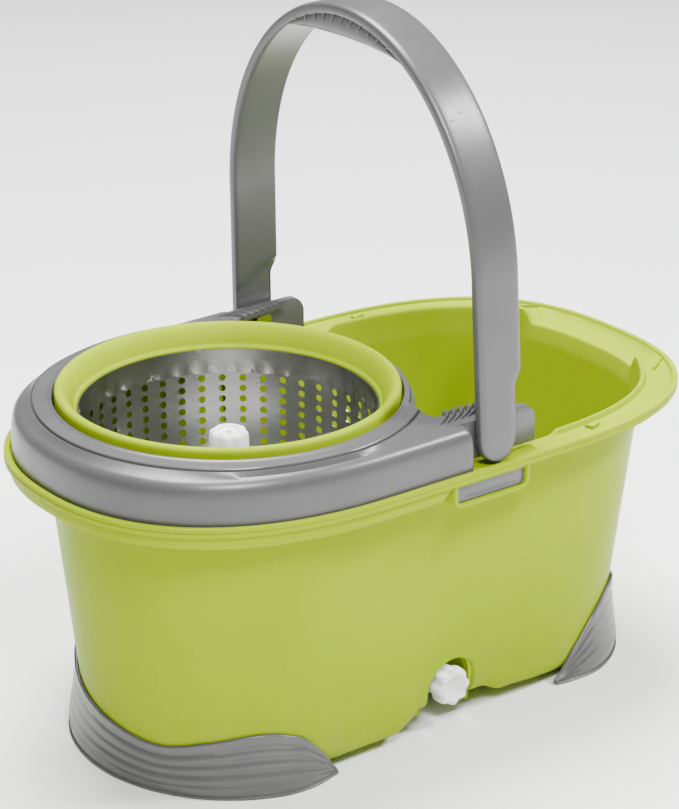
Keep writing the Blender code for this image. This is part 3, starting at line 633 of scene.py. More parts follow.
def cover_section(station):
    """The cut line at one station."""
    outer, angle, foot = station
    inner = (RING_X + HOLE_R * math.cos(angle), HOLE_R * math.sin(angle))
    width = math.hypot(outer[0] - inner[0], outer[1] - inner[1])
    squeeze = min(1.0, width / 24.0)
    low, stretch = COVER_FOOT, 1.0
    if foot > COVER_FOOT + 10:
        low, stretch = foot, (COVER_TOP - 5.8 - foot) / CUT_OUTER[-1][1]
    shape = [(along * squeeze, max(low + stretch * up, foot)) for along, up in CUT_OUTER]
    shape += [(width - back * squeeze, COVER_FOOT + up) for back, up in CUT_INNER]
    under = max(foot + 1.5, END_FOOT)
    shape += [(4.2 * squeeze, under), (3.2 * squeeze, under - 1.2), (2.6 * squeeze, foot)]
    return [(outer[0] + (inner[0] - outer[0]) * along / width,
             outer[1] + (inner[1] - outer[1]) * along / width, z) for along, z in shape]


half = [cover_section(station) for station in cover_stations()]
mirrored = [[(x, -y, z) for x, y, z in loop] for loop in reversed(half[1:-1])]
cover_bm = bmesh.new()
skin(cover_bm, half + mirrored, closed=True)
print("cover stations", len(half) + len(mirrored))

# %% [markdown]
# Two ears rise beside the tank and carry the bail's pins. Each is a plate with one rounded top
# corner, tied to the cover by a sloping web. Short pleats curve across each web to the ear.

# %% Ears, webs and pleats
pin_low, pin_high = low_high("handle_pin_front")
PIVOT_Z = (pin_low.z + pin_high.z) / 2
EAR_FACE = 127.5
EAR_THICK = 6.0
EAR_START, EAR_TIP = -14.0, cover_high.x
EAR_FOOT, EAR_TOP = 208.0, 235.0
EAR_ROUND = 12.0
WEB_EDGE = 126.0
WEB_UNDER, WEB_OVER = 232.0, 235.0
PLEATS = 7
PLEAT_SIZE = 2.9


def ear_outline(inset):
    """The ear in X and Z: flat foot, rounded top corner on the tank's side."""
    radius = EAR_ROUND - inset
    right, top = EAR_TIP - inset, EAR_TOP - inset
    points = [(EAR_START + inset, EAR_FOOT + inset), (right, EAR_FOOT + inset)]
    return points + arc(right - radius, top - radius, radius, 0, 90, 12) + [(EAR_START + inset, top)]


def web_section(share):
    """A cut through the web, from the ring's side out to the ear."""
    inner_x = -27.0 + 68.0 * share
    inner_y = 103.0 + 7.0 * smooth(share, 0.0, 0.3) + 13.0 * smooth(share, 0.55, 1.0)
    outer_x = -16.0 + 58.0 * share
    return [(inner_x, inner_y, WEB_UNDER), (outer_x, WEB_EDGE, WEB_UNDER), (outer_x, WEB_EDGE, WEB_OVER),
            ((inner_x + outer_x) / 2, (inner_y + WEB_EDGE) / 2, WEB_OVER + 0.6),
            (inner_x, inner_y, WEB_OVER + 0.2)]


def pleat(number):
    """Cuts through one pleat, which bends toward the basket and thins to a point."""
    start = Vector((-4.0 + 5.6 * number, 107.6 + 0.35 * number ** 1.4, 235.9 + 0.25 * number))
    bend = Vector((start.x - 2.5, start.y + 8.0, 236.6))
    end = Vector((start.x - 15.0, 121.5, 234.2))
    loops = []
    for step in range(13):
        share = step / 12
        x, y, z = start * (1 - share) ** 2 + bend * 2 * share * (1 - share) + end * share ** 2
        size = PLEAT_SIZE * (1 - 0.75 * share)
        loops.append([(x + across * size, y, z + up) for across, up in (
            (-1.0, -2.2), (-0.75, 0.7), (-0.2, 1.9), (0.35, 1.7), (0.9, 0.0), (1.0, -2.2))])
    return loops


for side in (-1, 1):
    back = EAR_FACE - EAR_THICK
    depths = [(1.0, EAR_FACE), (0.3, EAR_FACE - 0.3), (0.0, EAR_FACE - 1.0), (0.0, back + 1.0), (0.3, back + 0.3),
              (1.0, back)]
    skin(cover_bm, [[(x, side * y, z) for x, z in ear_outline(inset)] for inset, y in depths])
    for loops in [[web_section(step / 16) for step in range(17)]] + [pleat(number) for number in range(PLEATS)]:
        skin(cover_bm, [[(x, side * y, z) for x, y, z in loop] for loop in loops])
cover = finished("cover_shell", cover_bm, GREY)
stands_for(cover, "spinner_cover")
print("cover faces", len(cover.data.polygons))

# %% [markdown]
# ## The basket ring
# The ring is turned: a rounded crest, an inner wall that funnels down to the drum, and a thin
# skirt outside. A single profile about the basket's axis describes it completely.

# %% Turned ring
def turned(name, profile, look, segments):
    """Turn a closed profile of (radius, z) about the basket's axis."""
    bm = bmesh.new()
    skin(bm, [ring_points(RING_X, 0.0, z, radius, segments) for radius, z in profile], closed=True)
    return finished(name, bm, look)


drum_low, drum_high = low_high("basket_drum")
RING_R = (axis_high.x - axis_low.x) / 2
CREST = axis_high.z
DRUM_R = (drum_high.x - drum_low.x) / 2
BORE = DRUM_R + 0.7
profile = [(BORE, 231.2), (BORE + 0.4, 231.9), (BORE + 1.0, 232.3), (BORE + 1.5, 233.2),
           (BORE + 1.9, 234.6), (101.6, 237.6), (103.2, 240.6), (104.8, 243.0), (106.4, CREST - 1.0),
           (107.8, CREST - 0.25), (108.9, CREST), (110.0, CREST - 0.25), (111.0, CREST - 0.9), (111.7, CREST - 2.0),
           (RING_R, CREST - 3.4), (RING_R, CREST - 10.0), (RING_R, axis_low.z + 0.6), (RING_R - 0.5, axis_low.z),
           (RING_R - 2.0, axis_low.z), (RING_R - 2.5, axis_low.z + 0.6), (RING_R - 2.5, CREST - 5.5),
           (108.0, CREST - 3.2), (105.5, CREST - 5.5), (101.5, 231.5), (101.0, 226.0), (BORE - 0.4, 226.0),
           (BORE - 0.4, 230.6)]
ring = turned("ring_shell", profile, LIME, 192)
stands_for(ring, "basket_ring")
print("ring crest", round(CREST, 1))

# %% [markdown]
# ## The perforated drum
# Holes are punched in the flat sheet in straight columns before it is rolled and lapped. The same
# order is followed here with Geometry Nodes: one small cell with a hole is repeated over the
# flat sheet, the cells are joined, the sheet is wrapped round the axis and given its thickness.
# Rows, columns and sizes are named inputs, so another basket only needs other numbers.

# %% One punched cell
PITCH_COLUMNS = 44
PITCH_Z = 7.7
HOLE_R_MM = 2.45
HOLE_SIDES = 20
SAME = 1e-6
FIRST_ROW_Z = 209.0
HOLE_ROWS = 8
SHEET_WALL = 0.8


def punched_cell():
    """A cell one pitch wide and tall, with a round hole, lying in X and Z."""
    wide, tall = math.pi * DRUM_R / PITCH_COLUMNS, PITCH_Z / 2
    bm = bmesh.new()
    rim, edge = [], []
    for step in range(HOLE_SIDES):
        angle = 2 * math.pi * (step + 0.5) / HOLE_SIDES
        cosine, sine = math.cos(angle), math.sin(angle)
        rim.append(bm.verts.new((HOLE_R_MM * cosine, 0.0, HOLE_R_MM * sine)))
        reach = min(wide / max(abs(cosine), SAME), tall / max(abs(sine), SAME))
        edge.append(bm.verts.new((reach * cosine, 0.0, reach * sine)))
    corners = [bm.verts.new((sx * wide, 0.0, sz * tall)) for sx, sz in ((1, 1), (-1, 1), (-1, -1), (1, -1))]
    for i in range(HOLE_SIDES):
        j = (i + 1) % HOLE_SIDES
        bm.faces.new((rim[i], rim[j], edge[j], edge[i]))
        a, b = edge[i].co, edge[j].co
        for corner in corners:
            c = corner.co
            touches_a = abs(a.x - c.x) < SAME or abs(a.z - c.z) < SAME
            touches_b = abs(b.x - c.x) < SAME or abs(b.z - c.z) < SAME
            same_quarter = a.x * c.x > 0 and a.z * c.z > 0 and b.x * c.x > 0 and b.z * c.z > 0
            straight = abs(a.x - b.x) < SAME or abs(a.z - b.z) < SAME
            if touches_a and touches_b and same_quarter and not straight:
                bm.faces.new((edge[i], edge[j], corner))
    return finished("punched_cell", bm, None)


cell = punched_cell()
print("cell faces", len(cell.data.polygons))

# %% [markdown]
# The node group below is the roll-former. It takes the cell, repeats it along X and Z, adds the
# plain bands above and below the holes, merges the seams, then bends X into an angle. Each group
# is made from the dictionary of its inputs, so a socket's kind follows from its value.

# %% Geometry Nodes helpers
SOCKETS = {bpy.types.Object: 'NodeSocketObject', bpy.types.Material: 'NodeSocketMaterial',
           int: 'NodeSocketInt', float: 'NodeSocketFloat'}
WELD = 0.00002


def new_group(name, values):
    """A geometry node group: its tree, its inputs by name and its output node."""
    tree = bpy.data.node_groups.new(name, 'GeometryNodeTree')
    tree.interface.new_socket("Geometry", in_out='INPUT', socket_type='NodeSocketGeometry')
    for label, value in values.items():
        tree.interface.new_socket(label, in_out='INPUT', socket_type=SOCKETS[type(value)])
    tree.interface.new_socket("Geometry", in_out='OUTPUT', socket_type='NodeSocketGeometry')
    return tree, tree.nodes.new("NodeGroupInput").outputs, tree.nodes.new("NodeGroupOutput")


def run_group(item, tree, values):
    """Run the group on an object with inputs set by socket identifier, and keep the result."""
    step = item.modifiers.new(tree.name, 'NODES')
    step.node_group = tree
    for socket in tree.interface.items_tree:
        if socket.in_out == 'INPUT' and socket.name in values:
            step[socket.identifier] = values[socket.name]
    return settle(item)


def holder(name):
    """An empty mesh object for a group that makes all of its own geometry."""
    made = bpy.data.objects.new(name, bpy.data.meshes.new(name))
    bpy.context.scene.collection.objects.link(made)
    return made


def vector(tree, x=0.0, y=0.0, z=0.0):
    """A vector from numbers or sockets."""
    return add(tree, "ShaderNodeCombineXYZ", {0: x, 1: y, 2: z}).outputs[0]


def deliver(tree, geometry, look, out):
    """Turn instances into mesh, paint them and send them out of the group."""
    real = add(tree, "GeometryNodeRealizeInstances", {0: geometry})
    painted = add(tree, "GeometryNodeSetMaterial", {"Geometry": real.outputs[0], "Material": look})
    tree.links.new(painted.outputs[0], out.inputs[0])


def weld(tree, geometry):
    """Join points that lie on one another."""
    return add(tree, "GeometryNodeMergeByDistance", {"Geometry": geometry, "Distance": WELD}).outputs[0]


def wrapped(tree, geometry, radius, axis_x):
    """Bend X into an angle about the basket's axis."""
    sums = partial(maths, tree)
    flat = split(tree, add(tree, "GeometryNodeInputPosition").outputs[0])
    angle = sums('DIVIDE', flat[0], radius)
    reach = sums('ADD', radius, flat[1])
    x = sums('ADD', sums('MULTIPLY', sums('COSINE', angle), reach), axis_x)
    spot = vector(tree, x, sums('MULTIPLY', sums('SINE', angle), reach), flat[2])
    return add(tree, "GeometryNodeSetPosition", {"Geometry": geometry, "Position": spot}).outputs[0]


print("socket kinds", sorted(SOCKETS.values()))

# %% Drum by Geometry Nodes
drum_values = {"Cell": cell, "Columns": PITCH_COLUMNS, "Rows": HOLE_ROWS, "Pitch Z": PITCH_Z * MM,
               "First Row": FIRST_ROW_Z * MM, "Radius": DRUM_R * MM, "Axis X": RING_X * MM,
               "Steel": DRUM_STEEL}
drum_tree, given, drum_out = new_group("punched_drum", drum_values)
sums = partial(maths, drum_tree)
pitch_x = sums('DIVIDE', sums('MULTIPLY', given["Radius"], 2 * math.pi), given["Columns"])
grid = add(drum_tree, "GeometryNodeMeshLine", {"Count": given["Columns"],
                                               "Offset": vector(drum_tree, pitch_x)}, count_mode='TOTAL')
column = add(drum_tree, "GeometryNodeMeshLine", {
    "Count": given["Rows"], "Start Location": vector(drum_tree, z=given["First Row"]),
    "Offset": vector(drum_tree, z=sums('MULTIPLY', given["Pitch Z"], -1.0))})
info = add(drum_tree, "GeometryNodeObjectInfo", {0: given["Cell"]})
rows = add(drum_tree, "GeometryNodeInstanceOnPoints", {"Points": column.outputs[0],
                                                       "Instance": info.outputs["Geometry"]})
columns = add(drum_tree, "GeometryNodeInstanceOnPoints", {"Points": grid.outputs[0],
                                                          "Instance": rows.outputs[0]})
real = add(drum_tree, "GeometryNodeRealizeInstances", {0: columns.outputs[0]})
bands = add(drum_tree, "GeometryNodeJoinGeometry", {0: real.outputs[0]})
drum_tree.links.new(given["Geometry"], bands.inputs[0])
bent = wrapped(drum_tree, weld(drum_tree, bands.outputs[0]), given["Radius"], given["Axis X"])
deliver(drum_tree, weld(drum_tree, bent), given["Steel"], drum_out)


def plain_bands():
    """The flat sheet above and below the holes, cut to the same columns."""
    bm = bmesh.new()
    width = 2 * math.pi * DRUM_R / PITCH_COLUMNS
    first = FIRST_ROW_Z + PITCH_Z / 2
    last = FIRST_ROW_Z - PITCH_Z * (HOLE_ROWS - 0.5)
    for levels in ((drum_low.z, last), (first, 219.0, 224.0, drum_high.z)):
        xs = [width * (i / 4 - 0.5) for i in range(4 * PITCH_COLUMNS + 1)]
        grid_rows = [[bm.verts.new((x, 0.0, z)) for x in xs] for z in levels]
        for low_row, high_row in zip(grid_rows, grid_rows[1:]):
            for i in range(len(xs) - 1):
                bm.faces.new((low_row[i], low_row[i + 1], high_row[i + 1], high_row[i]))
    return finished("drum_shell", bm, DRUM_STEEL)


drum = run_group(plain_bands(), drum_tree, drum_values)
bpy.data.objects.remove(cell, do_unlink=True)
facet = drum.data.polygons[0]
outward = facet.center - Vector((RING_X * MM, 0, facet.center.z))
thick = drum.modifiers.new("wall", 'SOLIDIFY')
thick.thickness = SHEET_WALL * MM
thick.offset = -1.0 if facet.normal.dot(outward) > 0 else 1.0
settle(drum)
drum.data.shade_smooth()
drum.data.set_sharp_from_angle(angle=math.radians(40))
stands_for(drum, "basket_drum")
print("drum faces", len(drum.data.polygons))

# %% [markdown]
# The rolled sheet overlaps itself along one upright seam, a strip that stands proud of the wall.
# The white post in the middle takes the mop head: a flange at its foot and eight soft lobes above.

# %% Lap seam and hub
SEAM_DEGREES = 148.0
lap = bmesh.new()
lap_loops = []
for z in (drum_low.z + 3.0, drum_high.z - 2.0):
    loop = []
    for degrees, depth in ((-2.2, 0.75), (-2.2, 1.7), (-1.6, 1.95), (1.6, 1.95), (2.2, 1.7), (2.2, 0.75)):
        angle = math.radians(SEAM_DEGREES + degrees)
        loop.append((RING_X + (DRUM_R - depth) * math.cos(angle), (DRUM_R - depth) * math.sin(angle), z))
    lap_loops.append(loop)
skin(lap, lap_loops)
seam_strip = finished("drum_lap", lap, DRUM_STEEL)
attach(seam_strip, BODY_OF["basket_drum"])

hub_low, hub_high = low_high("mop_hub")
HUB_LOBES = 8
HUB_LOBE_DEPTH = 1.6
hub_shape = [(7.6, hub_low.z, 0), (14.1, hub_low.z, 0), (14.1, 147.8, 0), (25.4, 147.8, 0), (26.0, 148.4, 0),
             (26.0, 149.9, 0), (25.4, 150.5, 0), (17.0, 150.8, 0), (14.6, 151.6, 1), (13.7, 153.2, 1),
             (13.5, 156.0, 1), (13.4, 175.0, 1), (13.3, 200.0, 1), (13.0, 208.5, 1), (12.4, 210.4, 1),
             (11.2, 211.4, 1), (9.4, hub_high.z, 0), (7.0, hub_high.z - 0.3, 0), (6.4, hub_high.z - 1.6, 0),
             (2.0, hub_high.z - 1.9, 0), (2.0, 198.0, 0), (7.6, 196.0, 0)]
hub_bm = bmesh.new()
skin(hub_bm, [ring_points(RING_X, 0.0, z, r, 96, HUB_LOBES, HUB_LOBE_DEPTH * lobed)
              for r, z, lobed in hub_shape], closed=True)
stands_for(finished("hub_post", hub_bm, WHITE), "mop_hub")
print("hub top", round(hub_high.z, 1))

# %% [markdown]
# The basket's floor is a pressed disc with rings of drain holes. Its plate is cut by small pegs,
# which Geometry Nodes sets out on rings: each ring has its own count, so the spacing stays even.

# %% Perforated floor
floor_low, floor_high = low_high("basket_floor")
FLOOR_R = (floor_high.x - floor_low.x) / 2
FLOOR_HOLE_R = 2.2
RING_PITCH = 0.55
pressed = [(FLOOR_R, 146.4), (FLOOR_R, floor_low.z), (90.0, floor_low.z), (60.0, 145.4), (14.5, 145.4),
           (14.5, 147.0), (60.0, 147.0), (90.0, 146.6)]
floor_plate = turned("floor_plate", pressed, DRUM_STEEL, 128)
peg_values = {"Count": 24, "Ring Radius": 0.04, "Hole Radius": FLOOR_HOLE_R * MM, "Axis X": RING_X * MM,
              "Level": 0.146}
peg_tree, given, peg_out = new_group("drain_pegs", peg_values)
circle = add(peg_tree, "GeometryNodeMeshCircle", {"Vertices": given["Count"], "Radius": given["Ring Radius"]})
peg = add(peg_tree, "GeometryNodeMeshCylinder", {"Vertices": 12, "Depth": 0.008,
                                                 "Radius": given["Hole Radius"]})
pegs = add(peg_tree, "GeometryNodeInstanceOnPoints", {"Points": circle.outputs[0], "Instance": peg.outputs[0]})
real_pegs = add(peg_tree, "GeometryNodeRealizeInstances", {0: pegs.outputs[0]})
shift = add(peg_tree, "GeometryNodeTransform", {
    "Geometry": real_pegs.outputs[0], "Translation": vector(peg_tree, given["Axis X"], 0.0, given["Level"])})
deliver(peg_tree, shift.outputs[0], DRUM_STEEL, peg_out)
for radius in (32.0, 44.0, 56.0, 68.0, 80.0):
    peg_values.update({"Count": int(radius * RING_PITCH), "Ring Radius": radius * MM})
    carve(floor_plate, [run_group(holder("pegs"), peg_tree, peg_values)])
stands_for(floor_plate, "basket_floor")
print("floor faces", len(floor_plate.data.polygons))

# %% [markdown]
# ## The bail handle
# The bail is a wide band with a domed outer face, a crease near its edge and a rounded side.
# It is a sweep: one section carried up a leg, over the arch and down the other leg. Low on each
# leg the band is scooped narrower, so that it clears the ear when it folds over the tank.

# %% Bail band
band_low, band_high = low_high("handle")
BAND_NEAR, BAND_FAR = 2.5, 38.0
LEG_FAR = 33.0
LEG_Y = band_high.y
ARCH_Y = 134.0
ARCH_Z = 322.0
BAND_TOP = band_high.z
BAND = 8.0
LEG_REACH = PIVOT_Z - band_low.z
LEG_POWER = 2.4
RAKE = 8.5


def rake(z):
    """How far the bail leans back toward the basket at a height."""
    return RAKE * max(z - PIVOT_Z, 0.0) / (BAND_TOP - PIVOT_Z)


def band_section(near, far):
    """Points of (x, depth below the outer face) round the band."""
    wide = far - near
    side_near = [(4.2, 0.10), (3.0, 0.22), (2.3, 0.50), (1.3, 0.80), (0.6, 1.35), (0.15, 2.3), (0.0, 3.6),
                 (0.0, 5.4), (0.25, 6.7), (1.0, 7.6), (2.2, BAND)]
    inside = [(wide * share, BAND) for share in (0.12, 0.3, 0.5, 0.7, 0.88)]
    side_far = [(wide - back, depth) for back, depth in (
        (1.3, BAND), (0.3, 7.2), (0.0, 6.0), (0.1, 4.4), (0.7, 2.6), (1.8, 1.2), (3.2, 0.6), (5.0, 0.32))]
    outer = [(wide * share, 0.3 * (2 * share - 1) ** 2) for share in (0.78, 0.66, 0.5, 0.36)]
    return [(near + x, depth) for x, depth in side_near + inside + side_far + outer + [(8.0, 0.06)]]


def bail_stations():
    """Outer point and inward direction in Y and Z, from a leg's foot to the top of the arch."""
    round_foot = band_low.z + LEG_REACH * (1 - np.cos(np.linspace(0.06, math.pi / 2, 14)))
    made = []
    for z in list(round_foot) + list(np.linspace(PIVOT_Z + 2.0, ARCH_Z, 44)):
        lean = max(z - PIVOT_Z, 0.0) / (ARCH_Z - PIVOT_Z)
        made.append(((LEG_Y + (ARCH_Y - LEG_Y) * lean, float(z)), (-1.0, 0.0)))
    rise = BAND_TOP - ARCH_Z
    for step in range(1, 49):
        angle = 0.5 * math.pi * step / 48
        y, z = ARCH_Y * math.cos(angle), ARCH_Z + rise * math.sin(angle)
        normal = Vector((math.cos(angle) / ARCH_Y, math.sin(angle) / rise)).normalized()
        made.append(((y, z), (-normal.x, -normal.y)))
    return made


def bail_loop(station):
    """The section at one station; the leg's end is round and its inner face steps back."""
    (y, z), (iy, iz) = station
    middle = (BAND_NEAR + LEG_FAR) / 2
    squeeze = 1.0
    if z < PIVOT_Z:
        squeeze = max(1 - ((PIVOT_Z - z) / LEG_REACH) ** LEG_POWER, 0.0004) ** (1 / LEG_POWER)
    far = LEG_FAR + (BAND_FAR - LEG_FAR) * smooth(z, 254.0, 266.0)
    loop = []
    for x, depth in band_section(BAND_NEAR, far):
        step_line = 247.0 + 16.0 * smooth(x, BAND_NEAR, far)
        if depth > 7.0:
            depth -= 2.0 * (1.0 - smooth(z, step_line, step_line + 3.0))
        x = middle + (x - middle) * squeeze
        loop.append((x - rake(z), y + iy * depth, z + iz * depth))
    return loop


stations = [bail_loop(station) for station in bail_stations()]
other = [[(x, -y, z) for x, y, z in loop] for loop in reversed(stations[:-1])]
bail_bm = bmesh.new()
skin(bail_bm, stations + other)
stands_for(finished("bail_band", bail_bm, GREY), "handle")
print("bail stations", len(stations) + len(other))

# %% [markdown]
# Under the arch a filler rounds out the grip. Curved ribs wrap its edge for the fingers. They all
# have the same shape, so one rib is made once and Geometry Nodes sets it out along the arch,
# turned to stay square to it and stretched to the depth of the grip.

# %% Grip filler
_, grip_high = low_high("handle_grip")
GRIP_HALF = grip_high.y
GRIP_UNDER = 456.6
GRIP_SAG = 1.4 / 40.0 ** 2
GRIP_ROUND = 6.0
RISE = BAND_TOP - ARCH_Z
grip_loops = []
for y in np.linspace(-GRIP_HALF, GRIP_HALF, 61):
    y = float(y)
    slope = math.sqrt(1 - (y / ARCH_Y) ** 2)
    tilt = math.hypot(1.0, RISE * y / (ARCH_Y ** 2 * slope))
    top = ARCH_Z + RISE * slope - (BAND - 0.6) * tilt
    edge = min(max((GRIP_HALF - abs(y)) / 4.0, 0.0), 1.0)
    full = top - (GRIP_UNDER - GRIP_SAG * y ** 2)
    deep = full * (0.25 + 0.75 * math.sqrt(max(1 - (1 - edge) ** 2, 0.0)))
    middle = top - deep / 2
    near, far = BAND_NEAR + 0.7 - rake(top), BAND_FAR - 0.7 - rake(top)
    line = [(near + 0.6, top), (near + 0.1, top - deep * 0.25), (near, top - deep * 0.45)]
    line += arc(near + GRIP_ROUND, middle, GRIP_ROUND, 180, 270, 8, deep / 2)[1:]
    line += arc(far - GRIP_ROUND, middle, GRIP_ROUND, 270, 360, 8, deep / 2)[:-1]
    line += [(far, top - deep * 0.45), (far - 0.1, top - deep * 0.25), (far - 0.6, top)]
    grip_loops.append([(x, y, z) for x, z in line])
grip_bm = bmesh.new()
skin(grip_bm, grip_loops)
stands_for(finished("grip_filler", grip_bm, GREY), "handle_grip")
print("grip length", round(2 * GRIP_HALF, 1))

# %% One finger rib
RIB_COUNT = 11
RIB_SPAN = 50.0
RIB_TALL = 22.1
rib_path = [(4.4, -4.4, -2.2), (4.1, -3.4, -4.2), (3.1, -1.9, -6.4), (2.8, -0.2, -9.0), (3.1, 1.3, -12.0),
            (4.0, 2.4, -15.0), (5.8, 3.0, -17.8), (8.6, 3.2, -20.3), (12.5, 3.2, -21.6), (18.0, 3.2, -22.0),
            (20.2, 3.2, -22.0)]
rib_path += [(BAND_NEAR + BAND_FAR - x, y, z) for x, y, z in reversed(rib_path[:-1])]
rib_path = [(x - 0.97 * RAKE, y, z) for x, y, z in rib_path]
rib_bm = bmesh.new()
sweep(rib_bm, rib_path, 0.62, 6)
rib = finished("finger_rib", rib_bm, GREY)

# %% Ribs by Geometry Nodes
rib_values = {"Rib": rib, "Count": RIB_COUNT, "Half Span": RIB_SPAN * MM, "Arch Y": ARCH_Y * MM,
              "Arch Z": ARCH_Z * MM, "Rise": RISE * MM}
rib_tree, given, rib_out = new_group("finger_ribs", rib_values)
sums = partial(maths, rib_tree)
row = add(rib_tree, "GeometryNodeMeshLine", {
    "Count": given["Count"], "Start Location": vector(rib_tree, y=sums('MULTIPLY', given["Half Span"], -1.0)),
    "Offset": vector(rib_tree, y=given["Half Span"])}, mode='END_POINTS')
along = split(rib_tree, add(rib_tree, "GeometryNodeInputPosition").outputs[0])[1]
share = sums('DIVIDE', along, given["Arch Y"])
climb = sums('SQRT', sums('SUBTRACT', 1.0, sums('MULTIPLY', share, share)))
height = sums('ADD', sums('MULTIPLY', climb, given["Rise"]), given["Arch Z"])
lifted = add(rib_tree, "GeometryNodeSetPosition", {"Geometry": row.outputs[0],
                                                   "Position": vector(rib_tree, 0.0, along, height)})
steep = sums('DIVIDE', sums('MULTIPLY', share, RISE / ARCH_Y), climb)
lean = sums('MULTIPLY', sums('ARCTANGENT', steep), -0.8)
sag = sums('MULTIPLY', sums('MULTIPLY', along, along), GRIP_SAG / MM)
deep = sums('SUBTRACT', height, sums('SUBTRACT', GRIP_UNDER * MM, sag))
stretch = sums('DIVIDE', deep, RIB_TALL * MM)
thing = add(rib_tree, "GeometryNodeObjectInfo", {0: given["Rib"]})
ribs = add(rib_tree, "GeometryNodeInstanceOnPoints", {
    "Points": lifted.outputs[0], "Instance": thing.outputs["Geometry"],
    "Rotation": vector(rib_tree, lean), "Scale": vector(rib_tree, 1.0, 1.0, stretch)})
deliver(rib_tree, ribs.outputs[0], GREY, rib_out)
rib_row = run_group(holder("grip_ribs"), rib_tree, rib_values)
rib_row.data.shade_smooth()
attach(rib_row, BODY_OF["handle_grip"])
bpy.data.objects.remove(rib, do_unlink=True)
print("rib faces", len(rib_row.data.polygons))

# %% [markdown]
# ## Clips and the drain knob
# Each grey clip fills its latch frame: a plate with softened edges and one thin bead near its
# foot. The white knob has eight soft lobes and a dished face, and a plain collar behind them.

# %% Clip plates
for side, word in ((-1, "front"), (1, "rear")):
    low, high = low_high("cover_clip_" + word)
    back_y, face_y = (low.y, high.y) if side > 0 else (high.y, low.y)
    clip_bm = bmesh.new()
    layers = [(3.3, back_y), (3.3, face_y - side * 0.7), (3.6, face_y - side * 0.2), (4.3, face_y)]
    skin(clip_bm, [[(x, y, z) for x, z in u_path(inset, FRAME_CORNER - inset, clip_high.z)]
                   for inset, y in layers])
    bead = [(x, face_y - side * 0.1, FRAME_LOW + 6.6)
            for x in np.linspace(FRAME_LEFT + 9.0, FRAME_RIGHT - 9.0, 13)]
    sweep(clip_bm, bead, 0.9, 10)
    stands_for(finished("clip_plate_" + word, clip_bm, GREY), "cover_clip_" + word)

# %% Drain knob
KNOB_LOBES = 8
LOBE_DEPTH = 2.0
knob_shape = [(5.9, plug_high.y - plug_low.y, 0.0), (5.9, 29.2, 0.0), (10.8, 29.0, 0.0), (11.0, 28.4, 0.0),
              (11.0, 13.2, 0.0), (11.2, 12.6, 0.0), (12.8, 12.2, 0.5), (13.5, 11.4, 1.0), (13.8, 9.6, 1.0),
              (13.7, 5.0, 1.0), (13.4, 2.4, 1.0), (12.9, 1.1, 1.0), (11.9, 0.3, 0.9), (10.6, 0.0, 0.7),
              (9.6, 0.2, 0.4), (8.8, 1.0, 0.2), (7.9, 2.3, 0.0), (6.0, 3.3, 0.0), (3.2, 3.7, 0.0),
              (0.6, 3.8, 0.0)]
knob_loops = []
for radius, back, lobed in knob_shape:
    loop = ring_points(DRAIN_X, DRAIN_Z, 0.0, radius, 96, KNOB_LOBES, LOBE_DEPTH * lobed)
    knob_loops.append([(x, plug_low.y + back, z) for x, z, _ in loop])
knob_bm = bmesh.new()
skin(knob_bm, knob_loops)
stands_for(finished("drain_knob", knob_bm, WHITE), "drain_plug")
print("knob face at", round(plug_low.y, 1))

# %% [markdown]
# ## The feet
# A grey skirt wraps each end of the tub, and its upper edge rises and falls in a wave. Shallow
# grooves flow along it between that edge and the floor. The two are the same moulding, one turned
# round. Each station is a cut from the wall outward, with the grooves as ripples in its face.

# %% Foot skirts
FOOT_SPREAD = 13.0
FACE_STEPS = 26
GROOVES = 5.0
GROOVE_DEPTH = 0.75
END_TAPER = 0.14
LEAST_CREST = 4.0
POUR_END_TURN = 0.78
PAST_END_STEP = 1.8
CREST_WAVE = ((-96, 4), (-90, 19), (-80, 36), (-65, 43), (-45, 37), (-27, 30), (-6, 34), (22, 43), (42, 54),
              (58, 56), (76, 42), (88, 22), (96, 4))


def crest(degrees):
    """Height of the foot's wavy upper edge."""
    spots = CREST_WAVE
    for i in range(len(spots) - 1):
        (a0, h0), (a1, h1) = spots[i], spots[i + 1]
        if a0 <= degrees <= a1:
            before = spots[max(i - 1, 0)][1]
            after = spots[min(i + 2, len(spots) - 1)][1]
            t = (degrees - a0) / (a1 - a0)
            return (h0 * (2 * t ** 3 - 3 * t * t + 1) + (h1 - before) / 2 * (t ** 3 - 2 * t * t + t)
                    + h1 * (3 * t * t - 2 * t ** 3) + (after - h0) / 2 * (t ** 3 - t * t))
    return spots[0][1]


def wall_point(end, degrees, z, away):
    """A point off the tub's wall: angle round an end, height and distance."""
    inset = wall_inset(z)
    width = WALL_PLAN_HALF - inset
    angle = math.radians(degrees if end < 0 else degrees * POUR_END_TURN)
    cosine, sine = math.cos(angle), math.sin(angle)
    if end < 0:
        reach = ROUND_END - inset
        x, y = RING_X - reach * cosine, width * sine
        nx, ny = -cosine / reach, sine / width
        if abs(degrees) > 90:
            x, y = RING_X + (abs(degrees) - 90) * PAST_END_STEP, math.copysign(width, sine)
            nx, ny = 0.0, math.copysign(1.0, sine)
    else:
        reach = NOSE_REACH - inset
        x = NOSE_X + reach * abs(cosine) ** (2 / NOSE_POWER)
        y = -width * math.copysign(abs(sine) ** (2 / NOSE_POWER), sine)
        power = 2 - 2 / NOSE_POWER
        nx = abs(cosine) ** power / reach
        ny = -math.copysign(abs(sine) ** power, sine) / width
    y -= math.copysign(waist(x, z), y)
    length = math.hypot(nx, ny)
    return x + nx / length * away, y + ny / length * away, z


